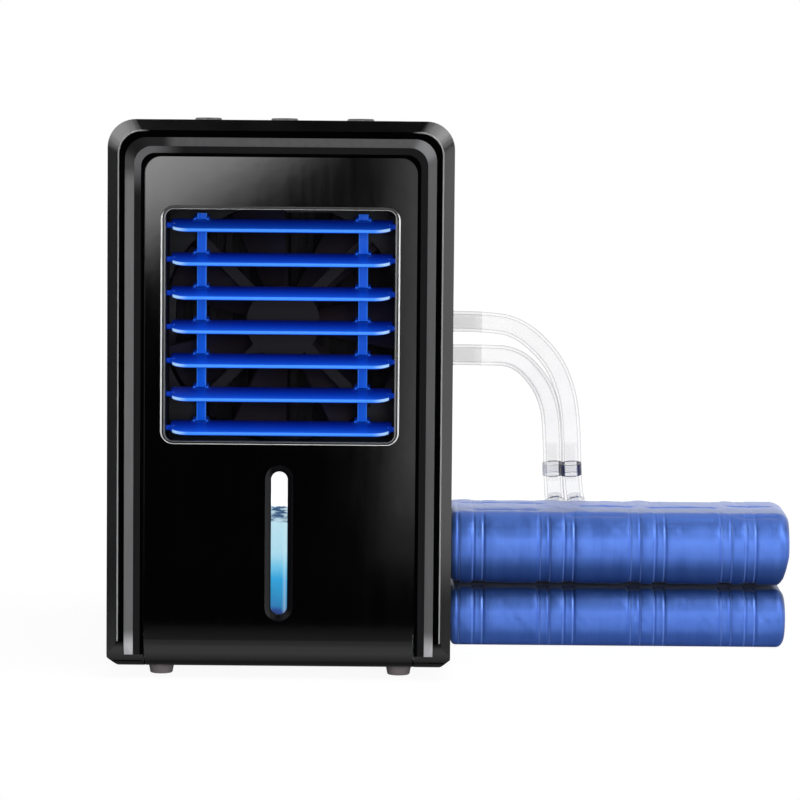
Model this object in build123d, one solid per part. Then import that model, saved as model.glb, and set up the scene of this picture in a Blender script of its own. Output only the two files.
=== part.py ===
from build123d import *
from math import asin, atan2, cos, degrees, hypot, pi, radians, sin, sqrt, tan
import os

# A bedside water chiller with a louvred fan front, a level window and two hoses
# to a folded water-circulating mattress pad. Millimetres, +Z up, front towards -Y.
# Written in the unit's own axes: X = 0 on its centre line, Y = 0 on its front face,
# Z = 0 on the table. The last lines move everything to the row origin.

# Casing
width = 160.0
depth = 160.0
body_height = 255.0
foot_height = 5.0
top_corner_radius = 13.0
bottom_chamfer = 5.0
shell_inset = 1.0
shell_wall = 2.5
base_thickness = 3.0
front_frame_depth = 20.0
rear_cover_depth = 10.0
rear_cover_wall = 2.5

# Front frame: bevels and the ledge round the panel
outer_bevel_width = 5.0
inner_bevel_width = 3.9
bevel_depth = 3.0
front_flat_width = 3.3
ledge_width = 4.8
ledge_thickness = 3.0
pocket_wall = 3.0
roll_radius = 16.0
roll_clearance = 0.3

# Front panel
panel_gap = 0.5
panel_recess = 2.2
panel_wall = 3.0
panel_corner_radius = 7.0
panel_rib = 3.0
panel_flange = 3.0
panel_flange_thickness = 2.5

# Louvre opening and its trim
louvre_centre_drop = 94.75
trim_side_margin = 7.25
trim_height = 110.0
trim_side_band = 2.2
trim_top_band = 1.4
trim_corner_radius = 6.0
trim_proud = 0.8
trim_groove_width = 0.8
trim_groove_depth = 0.8
trim_clearance = 0.2

# Louvre slats
slat_count = 7
slat_pitch = 15.75
slat_side_clearance = 1.25
slat_chord = 18.0
slat_thickness = 1.9
slat_front_corner = 8.0
slat_tilt = 14.0
slat_axis_setback = 17.0
slat_row_drop = 1.35
pivot_pin_radius = 1.2
pivot_clearance = 0.08
pivot_bite = 1.8

# Link bars behind the slats
link_inset = 13.9
link_width = 4.4
link_depth = 2.6
link_arm = 12.4
link_pin_radius = 0.8
link_hole_clearance = 0.3
link_end = 2.6
ear_thickness = 1.1
ear_gap = 0.3
ear_radius = 1.7

# Louvre carrier
duct_side_gap = 1.6
duct_wall = 2.5
duct_height = 115.3
carrier_plate = 2.0
carrier_plate_margin = 2.5
carrier_flange = 3.0
carrier_flange_front = 35.0

# Fan
fan_side_room = 20.0
fan_depth = 25.0
fan_rim = 2.0
fan_tip_gap = 1.5
fan_corner_radius = 5.0
fan_hole_inset = 7.5
fan_screw_radius = 1.9
fan_screw_clearance = 0.25
fan_screw_head_radius = 3.6
fan_screw_head = 2.0
motor_plate_radius = 17.3
motor_plate = 2.5
strut_width = 5.0
rotor_radius = 17.0
rotor_wall = 1.6
rotor_setback = 3.6
rotor_length = 18.0
shaft_radius = 1.5
shaft_clearance = 0.05
stator_radius = 13.0
stator_length = 12.5
blade_count = 7
blade_thickness = 1.6
blade_root_pitch = 48.0
blade_tip_pitch = 26.0
blade_chord_root = 15.0
blade_chord_tip = 30.0

# Wet filter
filter_gap = 11.0
filter_depth = 24.0
filter_side_inset = 2.0
filter_border = 5.0
filter_fins = 14
filter_fin_thickness = 3.2

# Water tank and its level gauge
deck_clearance = 1.1
tank_side_room = 6.5
tank_wall = 2.2
tank_front = 17.5
tank_back_gap = 4.0
tank_corner_radius = 6.0
deck_thickness = 3.0
deck_lip = 4.0
drip_slot_width = 16.0
drip_slot_inset = 12.0
window_width = 7.7
window_below_tank_top = 3.4
window_above_bottom = 25.6
window_bezel_width = 13.0
window_bezel_ends = 2.9
window_bezel_flange = 2.0
window_bevel_depth = 2.0
window_step = 1.0
window_glass = 1.8
gauge_half_width = 6.5
gauge_wall = 1.2
gauge_port_radius = 2.0
water_below_window_top = 16.6
water_clearance = 0.1

# Pump
pump_side_room = 44.0
pump_motor_width = 32.0
pump_motor_height = 32.0
pump_motor_length = 24.0
pump_radius = 17.0
pump_chamber_radius = 13.0
pump_chamber_depth = 10.0
pump_volute_length = 14.0
pump_cover = 3.0
pump_inlet_radius = 5.0
pump_foot_height = 2.8
pump_foot_radius = 4.0
pump_foot_offset = 9.0
pump_foot_front = 6.0
pump_foot_back = 5.0
pump_outlet_radius = 4.5
pump_outlet_top = 50.0
impeller_radius = 11.5
impeller_hub_radius = 4.0
impeller_length = 7.0
impeller_vanes = 6
impeller_vane = 1.6
impeller_shaft_radius = 1.25

# Hose fittings in the right wall
fitting_back_inset = 29.0
fitting_above_deck = 41.6
fitting_spacing = 16.8
shank_radius = 4.2
shank_clearance = 0.2
fitting_flange_radius = 7.0
fitting_flange = 1.8
seal_thickness = 1.2
seal_radius = 6.2
nut_across_flats = 13.0
nut_thickness = 3.5
nut_clearance = 0.05
barb_length = 11.0
barb_clearance = 0.2
fitting_bore_radius = 2.3
elbow_x_inset = 8.5
elbow_rise = 12.0

# Hoses outside
hose_od = 10.5
hose_id = 7.5
collar_od = 11.2
collar_length = 6.0
collar_barb = 10.5
port_barb = 3.0
tail_length = 14.0

# Hoses inside the casing
inner_hose_od = 8.6
inner_hose_id = 5.6
inner_barb_length = 9.0
inner_barb_clearance = 0.1
inner_bend_radius = 22.0

# Water tray under the fill lid
tray_side_room = 36.5
tray_front = 78.0
tray_back_inset = 20.0
tray_height = 30.0
tray_wall = 2.0
tray_top_gap = 4.5
tray_hole_radius = 1.6
tray_hole_count = 9
tray_hole_margin = 6.0
tray_inlet_drop = 12.0
tray_barb_length = 5.0

# Fill opening and lid
fill_side_lap = 1.2
fill_front = 84.0
fill_back_room = 3.9
fill_rim = 3.0
fill_rim_drop = 4.0
fill_ledge = 3.0
lid_axis_back_inset = 34.8
lid_axis_below = 2.8
lid_thickness = 2.3
lid_gap = 0.4
lid_overhang = 1.8
lid_lug_radius = 2.2
lid_lug_width = 4.0
lid_pin_radius = 1.0
lid_pin_clearance = 0.08
lid_pin_bite = 2.0

# Control panel
control_front = 24.0
control_length = 42.0
control_side_inset = 22.0
control_margin = 2.0
control_plate = 1.4
control_clearance = 0.3
control_corner_radius = 5.0
button_side_inset = 22.0
button_radius = 6.35
button_well_clearance = 0.3
button_proud = 1.2
button_travel = 1.0
button_flange_radius = 7.5
button_flange = 1.6
button_stem_radius = 2.0
indicator_radius = 1.5
indicator_clearance = 0.1
indicator_offset = 12.0
board_drop = 8.5
board_thickness = 1.6
board_margin = 4.0
post_radius = 2.6
post_inset = 6.0
board_screw_radius = 1.2
board_screw_clearance = 0.05
board_screw_head_radius = 2.4
board_screw_head = 1.8
board_screw_length = 6.0
switch_size = 6.0
switch_height = 3.6
plunger_radius = 1.7
plunger_height = 0.5
connector_half_width = 8.0
connector_offset = 8.0
connector_depth = 6.0
connector_height = 1.6

# Rear cover
intake_slot_count = 11
intake_slot_pitch = 8.0
intake_slot_width = 3.4
intake_slot_length = 100.0
cover_screw_radius = 1.5
cover_screw_head_radius = 3.0
cover_screw_head = 2.4
cover_screw_length = 12.0
cover_screw_clearance = 0.2
cover_boss_radius = 4.5
cover_boss_length = 18.0
cover_boss_inset = 4.2
cover_low_screw_above_deck = 8.0
cover_high_screw_drop = 10.5
jack_side_room = 24.5
jack_above_deck = 14.0
jack_radius = 5.5
jack_flange_radius = 7.0
jack_flange = 1.5
jack_length = 14.0
jack_bore_radius = 2.8
jack_bore_depth = 9.0
jack_pin_radius = 1.0

# Feet
foot_side_inset = 24.0
foot_front_y = 26.0
foot_back_inset = 22.0
foot_top_radius = 6.2
foot_bottom_radius = 5.2
foot_stem_radius = 2.5
foot_stem_clearance = 0.2

# Folded mattress pad
pad_left_gap = 2.0
pad_length = 167.5
pad_front = 117.0
pad_depth = 89.0
pad_height = 65.5
pad_crown = 0.8
pad_lower_height = 28.8
pad_seam_gap = 2.2
pad_front_round = 13.0
pad_back_round = 20.0
pad_end_round = 8.0
pad_fold_thickness = 26.0
pad_group_pitch = 45.5
pad_group_first = 5.5
pad_groups = 4
pad_weld_offset = 6.35
pad_weld_half_width = 2.6
pad_weld_depth = 0.9
port_radius = 5.5
port_length = 10.0

# Hose routes, as points on the centre line. Each last pair of points lies on the line
# down into its joiner, along which it leans by these amounts for 1 of drop. Below the
# joiner the tail turns to lean by its own amounts.
hose_lean = (0.06, 0.15)
return_tail_lean = (0.25, 0.2)
supply_tail_lean = (0.12, 0.25)
last_run = 20.0
tail_turn = 7.0
return_hose_end = (144.7, 184.5, 86.7)
supply_hose_end = (135.7, 192.0, 86.0)
hose_lead = 22.0
return_hose_bends = [(123.3, 141.0, 154.0), (132.7, 158.5, 142.2), (141.1, 170.8, 130.2)]
supply_hose_bends = [(122.2, 141.4, 139.0), (130.3, 159.1, 128.9), (130.6, 176.4, 121.4)]

# Levels and faces that follow from the sizes above
bottom = foot_height
top = bottom + body_height
base_top = bottom + base_thickness
shell_top = top - shell_inset
shell_ceiling = shell_top - shell_wall
shell_side = width / 2 - shell_inset
shell_inside = shell_side - shell_wall
shell_back = depth - rear_cover_depth
panel_inset = outer_bevel_width + front_flat_width + inner_bevel_width + ledge_width + panel_gap
panel_back = panel_recess + panel_wall
ledge_back = bevel_depth + ledge_thickness
louvre_z = top - louvre_centre_drop
slat_row_z = louvre_z - slat_row_drop
trim_width = width - 2 * (panel_inset + trim_side_margin)
opening_half_width = trim_width / 2 - trim_side_band
opening_half_height = trim_height / 2 - trim_top_band
slat_length = 2 * (opening_half_width - slat_side_clearance)
duct_half_width = slat_length / 2 + duct_side_gap
duct_half_height = duct_height / 2
fan_size = width - 2 * fan_side_room
fan_bore_radius = fan_size / 2 - fan_rim
fan_tip_radius = fan_bore_radius - fan_tip_gap
fan_hole_spacing = fan_size - 2 * fan_hole_inset
filter_width = fan_size - 2 * filter_side_inset
fan_front = carrier_flange_front + carrier_flange
fan_back = fan_front + fan_depth
filter_front = fan_back + filter_gap
deck_top = louvre_z - max(fan_size / 2, duct_half_height + duct_wall) - deck_clearance
tank_top = deck_top - deck_thickness
tank_half_width = shell_inside - tank_side_room
pump_x = tank_half_width - pump_side_room
fitting_y = depth - fitting_back_inset
supply_fitting_z = deck_top + fitting_above_deck
return_fitting_z = supply_fitting_z + fitting_spacing
tank_back = shell_back - tank_back_gap
tank_floor = base_top + tank_wall
tray_top = shell_ceiling - tray_top_gap
tray_bottom = tray_top - tray_height
tray_back = depth - tray_back_inset
tray_half_width = shell_inside - tray_side_room
tray_hole_reach = tray_half_width - tray_wall - tray_hole_margin
tray_hole_pitch = 2 * tray_hole_reach / (tray_hole_count - 1)
fill_half_width = tray_half_width - fill_side_lap
lid_axis_y = depth - lid_axis_back_inset
gauge_front = panel_back + window_step
window_top = tank_top - window_below_tank_top
window_low = bottom + window_above_bottom
window_height = window_top - window_low
window_centre = (window_top + window_low) / 2
window_bezel_height = window_height + 2 * window_bezel_ends
water_level = window_top - water_below_window_top
window_half = window_height / 2
bezel_half = window_bezel_height / 2
fill_back = lid_axis_y + fill_back_room
lid_axis_z = shell_top - lid_axis_below
control_back = control_front + control_length
control_half_width = width / 2 - control_side_inset
button_spacing = control_half_width - button_side_inset
control_y = (control_front + control_back) / 2
board_top = shell_ceiling - board_drop
link_x = slat_length / 2 - link_inset
barb_radius = hose_id / 2 - barb_clearance
inner_barb_radius = inner_hose_id / 2 - inner_barb_clearance
jack_x = jack_side_room - shell_inside
jack_z = deck_top + jack_above_deck
foot_spacing = width - 2 * foot_side_inset
foot_back_y = depth - foot_back_inset
pad_left = width / 2 + pad_left_gap
pad_right = pad_left + pad_length
pad_back = pad_front + pad_depth


# Solids along an axis
def block(x0, x1, y0, y1, z0, z1):
    return Pos((x0 + x1) / 2, (y0 + y1) / 2, (z0 + z1) / 2) * Box(x1 - x0, y1 - y0, z1 - z0)


def rod_x(y, z, x0, x1, radius):
    return Pos((x0 + x1) / 2, y, z) * Rot(0, 90, 0) * Cylinder(radius, x1 - x0)


def rod_y(x, z, y0, y1, radius):
    return Pos(x, (y0 + y1) / 2, z) * Rot(90, 0, 0) * Cylinder(radius, y1 - y0)


def rod_z(x, y, z0, z1, radius):
    return Pos(x, y, (z0 + z1) / 2) * Cylinder(radius, z1 - z0)


def cone_z(x, y, z0, z1, radius0, radius1):
    return Pos(x, y, (z0 + z1) / 2) * Cone(radius0, radius1, z1 - z0)


def plate_y(half_width, half_height, corner, y0, y1, z):
    """Rounded rectangle seen from the front, from y0 back to y1."""
    face = Plane((0, y0, z), x_dir=(1, 0, 0), z_dir=(0, -1, 0)) * RectangleRounded(
        2 * half_width, 2 * half_height, corner)
    return extrude(face, amount=y1 - y0, dir=(0, 1, 0))


def plate_z(half_width, y0, y1, corner, z0, z1):
    """Rounded rectangle seen from above."""
    face = Pos(0, (y0 + y1) / 2, z0) * RectangleRounded(2 * half_width, y1 - y0, corner)
    return extrude(face, amount=z1 - z0)


def stadium_y(slot_width, slot_height, y0, y1, z):
    """Upright slot with round ends, from y0 back to y1."""
    face = Plane((0, y0, z), x_dir=(0, 0, 1), z_dir=(0, -1, 0)) * SlotOverall(slot_height, slot_width)
    return extrude(face, amount=y1 - y0, dir=(0, 1, 0))


def side_profile(edges, x0, x1):
    """A closed profile of edges in the X = x0 plane, drawn out to x1."""
    return extrude(Face(Wire(edges)), amount=x1 - x0, dir=(1, 0, 0))


# Casing outline, seen from the front
def arch_wire(inset, radius, floor, y, chamfer=0.0):
    half = width / 2 - inset
    crown = top - inset
    turn = radius * (1 - 1 / sqrt(2))
    points = [(-half + chamfer, y, floor), (half - chamfer, y, floor)]
    if chamfer:
        points.append((half, y, floor + chamfer))
    points.append((half, y, crown - radius))
    edges = [Edge.make_line(points[i], points[i + 1]) for i in range(len(points) - 1)]
    edges.append(Edge.make_three_point_arc(
        (half, y, crown - radius), (half - turn, y, crown - turn), (half - radius, y, crown)))
    edges.append(Edge.make_line((half - radius, y, crown), (-half + radius, y, crown)))
    edges.append(Edge.make_three_point_arc(
        (-half + radius, y, crown), (-half + turn, y, crown - turn), (-half, y, crown - radius)))
    ending = [(-half, y, crown - radius)]
    if chamfer:
        ending.append((-half, y, floor + chamfer))
    ending.append(points[0])
    edges += [Edge.make_line(ending[i], ending[i + 1]) for i in range(len(ending) - 1)]
    return Wire(edges)


def arch(inset, radius, floor, y0, y1, chamfer=0.0):
    return extrude(Face(arch_wire(inset, radius, floor, y0, chamfer)), amount=y1 - y0, dir=(0, 1, 0))


def arch_loft(front, back):
    return Part() + Solid.make_loft([arch_wire(*front), arch_wire(*back)], ruled=True)


def rolled_corner(radius, centre_y, centre_z):
    """What is cut from the casing's lower front edge to round it."""
    corner = block(-width, width, centre_y - 2 * radius, centre_y, centre_z - 2 * radius, centre_z)
    return corner - rod_x(centre_y, centre_z, -width, width, radius)


# Front frame: an arch of two bevels round the panel, open below
def make_front_frame():
    flat_edge = outer_bevel_width + front_flat_width
    ledge_edge = flat_edge + inner_bevel_width
    below = bottom - roll_radius
    outer_front = (outer_bevel_width, top_corner_radius - 2, bottom, 0, bottom_chamfer)
    outer_back = (0, top_corner_radius, bottom, bevel_depth, bottom_chamfer)
    body = arch_loft(outer_front, outer_back)
    body += arch(0, top_corner_radius, bottom, bevel_depth, front_frame_depth, bottom_chamfer)
    bevel_front = (flat_edge, panel_corner_radius + 3, below, 0)
    bevel_back = (ledge_edge, panel_corner_radius + 1.5, below, bevel_depth)
    body -= arch_loft(bevel_front, bevel_back)
    opening_inset = panel_inset - panel_gap
    body -= arch(opening_inset, panel_corner_radius + panel_gap, below, bevel_depth, ledge_back)
    body -= arch(pocket_wall, top_corner_radius - pocket_wall, base_top, ledge_back, front_frame_depth)
    half = width / 2 - opening_inset
    body -= block(-half, half, 0, roll_radius + roll_clearance, bottom - 1, bottom + roll_radius)
    body -= rolled_corner(roll_radius, roll_radius, bottom + roll_radius)
    return body


# Front panel: one glossy face that rolls under at the bottom
def make_front_panel():
    half = width / 2 - panel_inset
    outer = roll_radius - panel_recess
    inner = outer - panel_wall
    centre_z = bottom + outer
    crown = top - panel_inset
    bend = 1 / sqrt(2)
    skin = side_profile([
        Edge.make_line((-half, panel_recess, crown), (-half, panel_recess, centre_z)),
        Edge.make_three_point_arc((-half, panel_recess, centre_z),
                                  (-half, roll_radius - outer * bend, centre_z - outer * bend),
                                  (-half, roll_radius, bottom)),
        Edge.make_line((-half, roll_radius, bottom), (-half, roll_radius, base_top)),
        Edge.make_three_point_arc((-half, roll_radius, base_top),
                                  (-half, roll_radius - inner * bend, centre_z - inner * bend),
                                  (-half, panel_back, centre_z)),
        Edge.make_line((-half, panel_back, centre_z), (-half, panel_back, crown)),
        Edge.make_line((-half, panel_back, crown), (-half, panel_recess, crown)),
    ], -half, half)
    skin = skin & arch(panel_inset, panel_corner_radius, bottom - 1, 0, front_frame_depth)
    flange_bottom = bottom + roll_radius + 1
    rib_inset = panel_inset + panel_rib
    flange_inset = panel_inset - panel_flange
    flange_back = ledge_back + panel_flange_thickness
    rib = arch(panel_inset, panel_corner_radius, flange_bottom, panel_back, flange_back)
    rib += arch(flange_inset, panel_corner_radius + panel_flange, flange_bottom, ledge_back, flange_back)
    rib -= arch(rib_inset, panel_corner_radius - panel_rib, bottom, 0, front_frame_depth)
    panel = skin + rib
    panel -= plate_y(trim_width / 2 + trim_clearance, trim_height / 2 + trim_clearance,
                     trim_corner_radius + trim_clearance, 0, ledge_back, louvre_z)
    panel -= stadium_y(window_bezel_width + 2 * trim_clearance, window_bezel_height + 2 * trim_clearance,
                       0, ledge_back, window_centre)
    return panel


# Bright trim round the louvres: two thin ridges with a groove between
def make_grille_trim():
    front = panel_recess - trim_proud
    outer_x = trim_width / 2
    outer_z = trim_height / 2
    ring = plate_y(outer_x, outer_z, trim_corner_radius, front, panel_back, louvre_z)
    side_ridge = (trim_side_band - trim_groove_width) / 2
    top_ridge = (trim_top_band - trim_groove_width) / 2
    groove = plate_y(outer_x - side_ridge, outer_z - top_ridge, trim_corner_radius - side_ridge,
                     front, front + trim_groove_depth, louvre_z)
    groove -= plate_y(opening_half_width + side_ridge, opening_half_height + top_ridge,
                      trim_corner_radius - trim_side_band + side_ridge,
                      front, front + trim_groove_depth, louvre_z)
    ring -= groove
    return ring - plate_y(opening_half_width, opening_half_height, trim_corner_radius - trim_side_band,
                          front - 1, panel_back + 1, louvre_z)


# Louvre carrier: the duct that holds the slats in front of the fan
def slat_level(index):
    return slat_row_z + ((slat_count - 1) / 2 - index) * slat_pitch


def make_louvre_carrier():
    outer_x = duct_half_width + duct_wall
    outer_z = duct_half_height + duct_wall
    flange_half = fan_size / 2
    plate_half_x = outer_x + carrier_plate_margin
    plate_half_z = outer_z + carrier_plate_margin / 2
    plate_back = panel_back + carrier_plate
    body = plate_y(plate_half_x, plate_half_z, 3, panel_back, plate_back, louvre_z)
    body += plate_y(outer_x, outer_z, 2, panel_back, fan_front, louvre_z)
    body += plate_y(flange_half, flange_half, fan_corner_radius, carrier_flange_front, fan_front, louvre_z)
    body -= plate_y(opening_half_width + 0.4, opening_half_height, 3, 0, plate_back, louvre_z)
    body -= plate_y(duct_half_width, duct_half_height, 1, plate_back, carrier_flange_front, louvre_z)
    body -= rod_y(0, louvre_z, carrier_flange_front - 1, fan_front + 1, fan_bore_radius - 1)
    hole = pivot_pin_radius + pivot_clearance
    for index in range(slat_count):
        body -= rod_x(slat_axis_setback, slat_level(index), -outer_x - 1, outer_x + 1, hole)
    for x, z in fan_corners():
        body -= rod_y(x, z, carrier_flange_front - 1, fan_front + 1, fan_screw_radius + fan_screw_clearance)
    return body


# One slat: a thin blade with rounded front corners, end pins and two pairs of ears
def make_louvre_slat(index):
    half = slat_length / 2
    plan = Pos(0, 0, -slat_thickness / 2) * Rectangle(slat_length, slat_chord)
    blade = extrude(plan, amount=slat_thickness)
    front_corners = blade.edges().filter_by(Axis.Z).sort_by(Axis.Y)[:2]
    blade = fillet(front_corners, slat_front_corner)
    rear_corners = blade.edges().filter_by(Axis.Z).sort_by(Axis.Y)[-2:]
    blade = fillet(rear_corners, 1.0)
    rim = blade.edges().filter_by(lambda edge: abs(edge.center().Z) > slat_thickness / 4)
    blade = fillet(rim, slat_thickness * 0.42)
    pin_end = duct_half_width + pivot_bite
    blade += rod_x(0, 0, -pin_end, -half + 2, pivot_pin_radius)
    blade += rod_x(0, 0, half - 2, pin_end, pivot_pin_radius)
    ear_inner = link_width / 2 + ear_gap
    ear_outer = ear_inner + ear_thickness
    ear_root = slat_chord / 2 - 2.2
    for side in (-1, 1):
        for hand in (-1, 1):
            low = side * link_x + (ear_inner if hand > 0 else -ear_outer)
            ear = rod_x(link_arm, 0, low, low + ear_thickness, ear_radius)
            ear += block(low, low + ear_thickness, ear_root, link_arm, -slat_thickness / 2, ear_radius)
            blade += ear
        blade += rod_x(link_arm, 0, side * link_x - ear_outer, side * link_x + ear_outer, link_pin_radius)
    return Pos(0, slat_axis_setback, slat_level(index)) * Rot(slat_tilt, 0, 0) * blade


def link_pin_point(index):
    tilt = radians(slat_tilt)
    return (slat_axis_setback + link_arm * cos(tilt), slat_level(index) + link_arm * sin(tilt))


# Link bar: joins all slats so that they tilt together
def make_link_bar(side):
    y, high = link_pin_point(0)
    low = link_pin_point(slat_count - 1)[1]
    x = side * link_x
    bar = block(x - link_width / 2, x + link_width / 2, y - link_depth / 2, y + link_depth / 2,
                low - link_end, high + link_end)
    bar = fillet(bar.edges().filter_by(Axis.Z), 0.6)
    for index in range(slat_count):
        room = pivot_clearance if index == slat_count // 2 else link_hole_clearance
        bar -= rod_x(y, link_pin_point(index)[1], x - link_width, x + link_width, link_pin_radius + room)
    return bar


# Fan
def fan_corners():
    reach = fan_hole_spacing / 2
    return [(x, louvre_z + z) for x in (-reach, reach) for z in (-reach, reach)]


def make_fan_housing():
    half = fan_size / 2
    bore = rod_y(0, louvre_z, fan_front - 1, fan_back + 1, fan_bore_radius)
    body = plate_y(half, half, fan_corner_radius, fan_front, fan_back, louvre_z) - bore
    strut_reach = fan_bore_radius + 1
    for angle in (45, 135):
        strut = block(-strut_reach, strut_reach, fan_front, fan_front + motor_plate,
                      -strut_width / 2, strut_width / 2)
        body += Pos(0, 0, louvre_z) * Rot(0, angle, 0) * strut
    body += rod_y(0, louvre_z, fan_front, fan_front + motor_plate, motor_plate_radius)
    for x, z in fan_corners():
        body -= rod_y(x, z, fan_front - 1, fan_back + 1, fan_screw_radius + fan_screw_clearance)
    return body


def make_fan_stator():
    front = fan_front + motor_plate
    stator = rod_y(0, louvre_z, front, front + stator_length, shaft_radius + 2)
    for turn in range(4):
        tooth = block(0, stator_radius, front + 2, front + stator_length - 1, -2.6, 2.6)
        tooth += rod_y(0, 0, front + 2, front + stator_length - 1, stator_radius) & block(
            stator_radius - 3, stator_radius, front, front + stator_length, -7.5, 7.5)
        stator += Pos(0, 0, louvre_z) * Rot(0, 90 * turn, 0) * tooth
    return stator - rod_y(0, louvre_z, front, front + stator_length + 1, shaft_radius + shaft_clearance)


def fan_blade():
    """One blade, lofted from its root section to its tip section, along +X from the hub."""
    sections = []
    span = [(rotor_radius - 0.8, blade_chord_root, blade_root_pitch),
            (fan_tip_radius, blade_chord_tip, blade_tip_pitch)]
    for reach, chord, pitch in span:
        plane = Plane((reach, 0, 0), x_dir=(0, sin(radians(pitch)), cos(radians(pitch))), z_dir=(1, 0, 0))
        sections.append(plane * Rectangle(chord, blade_thickness))
    return loft(sections, ruled=True)


def make_fan_rotor():
    front = fan_front + rotor_setback
    back = front + rotor_length
    cup = rod_y(0, 0, front, back, rotor_radius)
    cup -= rod_y(0, 0, front - 1, back - rotor_wall, rotor_radius - rotor_wall)
    cup = fillet(cup.edges().group_by(Axis.Y)[-1], 1.0)
    cup += rod_y(0, 0, fan_front + motor_plate + 0.5, back - rotor_wall / 2, shaft_radius)
    middle = (front + back) / 2
    envelope = rod_y(0, 0, front, back, fan_tip_radius) - rod_y(0, 0, front - 1, back + 1, rotor_radius - 1)
    for turn in range(blade_count):
        blade = Pos(0, middle, 0) * fan_blade()
        cup += Rot(0, 360 * turn / blade_count, 0) * (blade & envelope)
    return Pos(0, 0, louvre_z) * cup


def make_fan_screws():
    screws = []
    for x, z in fan_corners():
        screw = rod_y(x, z, carrier_flange_front, fan_back, fan_screw_radius)
        screw += rod_y(x, z, fan_back, fan_back + fan_screw_head, fan_screw_head_radius)
        screw -= block(x - 2.2, x + 2.2, fan_back + 1, fan_back + fan_screw_head + 1, z - 0.4, z + 0.4)
        screws.append(screw)
    return screws


# Wet filter between the intake and the fan
def make_filter_frame():
    half = filter_width / 2
    back = filter_front + filter_depth
    frame = block(-half, half, filter_front, back, deck_top, tray_bottom)
    inner = half - filter_border
    frame -= block(-inner, inner, filter_front - 1, back + 1, deck_top + filter_border,
                   tray_bottom - filter_border)
    return frame - block(-inner, inner, filter_front + 2, back - 2, deck_top - 1, tray_bottom + 1)


def make_filter_core():
    inner = filter_width / 2 - filter_border
    low = deck_top + 0.3
    high = tray_bottom - 0.3
    front = filter_front + 2.2
    back = filter_front + filter_depth - 2.2
    core = block(-inner + 0.3, inner - 0.3, front + 6, back - 6, low, high)
    pitch = 2 * (inner - 0.3 - filter_fin_thickness / 2) / (filter_fins - 1)
    for index in range(filter_fins):
        x = -inner + 0.3 + filter_fin_thickness / 2 + index * pitch
        core += block(x - filter_fin_thickness / 2, x + filter_fin_thickness / 2, front, back, low, high)
    return core


# Water tank, its deck and the level gauge on its front
def make_water_tank():
    tank = plate_z(tank_half_width, tank_front, tank_back, tank_corner_radius, base_top, tank_top)
    tank -= plate_z(tank_half_width - tank_wall, tank_front + tank_wall, tank_back - tank_wall,
                    tank_corner_radius - tank_wall, tank_floor, tank_top + 1)
    for z in gauge_ports():
        tank -= rod_y(0, z, tank_front - 1, tank_front + tank_wall + 1, gauge_port_radius)
    return tank


def gauge_ports():
    low = window_centre - window_half + 4
    return (low, window_centre + window_half - 4)


def make_tank_deck():
    deck = plate_z(tank_half_width, tank_front, tank_back, tank_corner_radius, tank_top, deck_top)
    lip_outer = tank_half_width - tank_wall - 0.3
    lip = plate_z(lip_outer, tank_front + tank_wall + 0.3, tank_back - tank_wall - 0.3,
                  tank_corner_radius - tank_wall, tank_top - deck_lip, tank_top)
    lip -= plate_z(lip_outer - 2, tank_front + tank_wall + 2.3, tank_back - tank_wall - 2.3,
                   tank_corner_radius - tank_wall - 2, tank_top - deck_lip - 1, tank_top)
    deck += lip
    slot_y = filter_front + filter_depth / 2
    slot_half = filter_width / 2 - drip_slot_inset
    deck -= block(-slot_half, slot_half, slot_y - drip_slot_width / 2, slot_y + drip_slot_width / 2,
                  tank_top - deck_lip, deck_top + 1)
    return deck - rod_z(pump_x, fitting_y, tank_top - deck_lip, deck_top + 1, inner_hose_od / 2 + 0.7)


def make_level_bezel():
    """Dark dished ring round the level window."""
    front = panel_recess
    bezel = stadium_y(window_bezel_width, window_bezel_height, front, gauge_front, window_centre)
    bezel += stadium_y(window_bezel_width + 2 * window_bezel_flange,
                       window_bezel_height + 2 * window_bezel_flange,
                       panel_back, gauge_front, window_centre)
    bezel -= stadium_y(window_width, window_height, front - 1, gauge_front + 1, window_centre)
    steps = [(window_bezel_width - 0.9, window_bezel_height - 0.9, front),
             (window_width, window_height, front + window_bevel_depth)]
    wires = []
    for slot_width, slot_height, y in steps:
        plane = Plane((0, y, window_centre), x_dir=(0, 0, 1), z_dir=(0, -1, 0))
        wires.append((plane * SlotOverall(slot_height, slot_width)).wire())
    return bezel - (Part() + Solid.make_loft(wires, ruled=True))


def make_level_window():
    return stadium_y(window_width - 0.2, window_height - 0.2, gauge_front - window_glass, gauge_front,
                     window_centre)


def gauge_span():
    return (window_centre - bezel_half + 0.2, window_centre + bezel_half - 0.2)


def make_level_tube():
    low, high = gauge_span()
    tube = block(-gauge_half_width, gauge_half_width, gauge_front, tank_front, low, high)
    return tube - block(-gauge_half_width + gauge_wall, gauge_half_width - gauge_wall,
                        gauge_front + gauge_wall, tank_front + 1, low + gauge_wall, high - gauge_wall)


def make_level_water():
    low = gauge_span()[0] + gauge_wall + water_clearance
    side = gauge_half_width - gauge_wall - water_clearance
    front = gauge_front + gauge_wall + water_clearance
    return block(-side, side, front, tank_front - water_clearance, low, water_level)


# Submersible pump in the tank
def pump_axis_z():
    return tank_floor + pump_foot_height + pump_motor_height / 2


def pump_stations():
    """Y of the motor's front, the volute's front, the cover and the cover's back."""
    chamber_middle = fitting_y
    cover = chamber_middle + pump_chamber_depth / 2
    volute = cover - pump_volute_length
    return (volute - pump_motor_length, volute, cover, cover + pump_cover)


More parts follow.
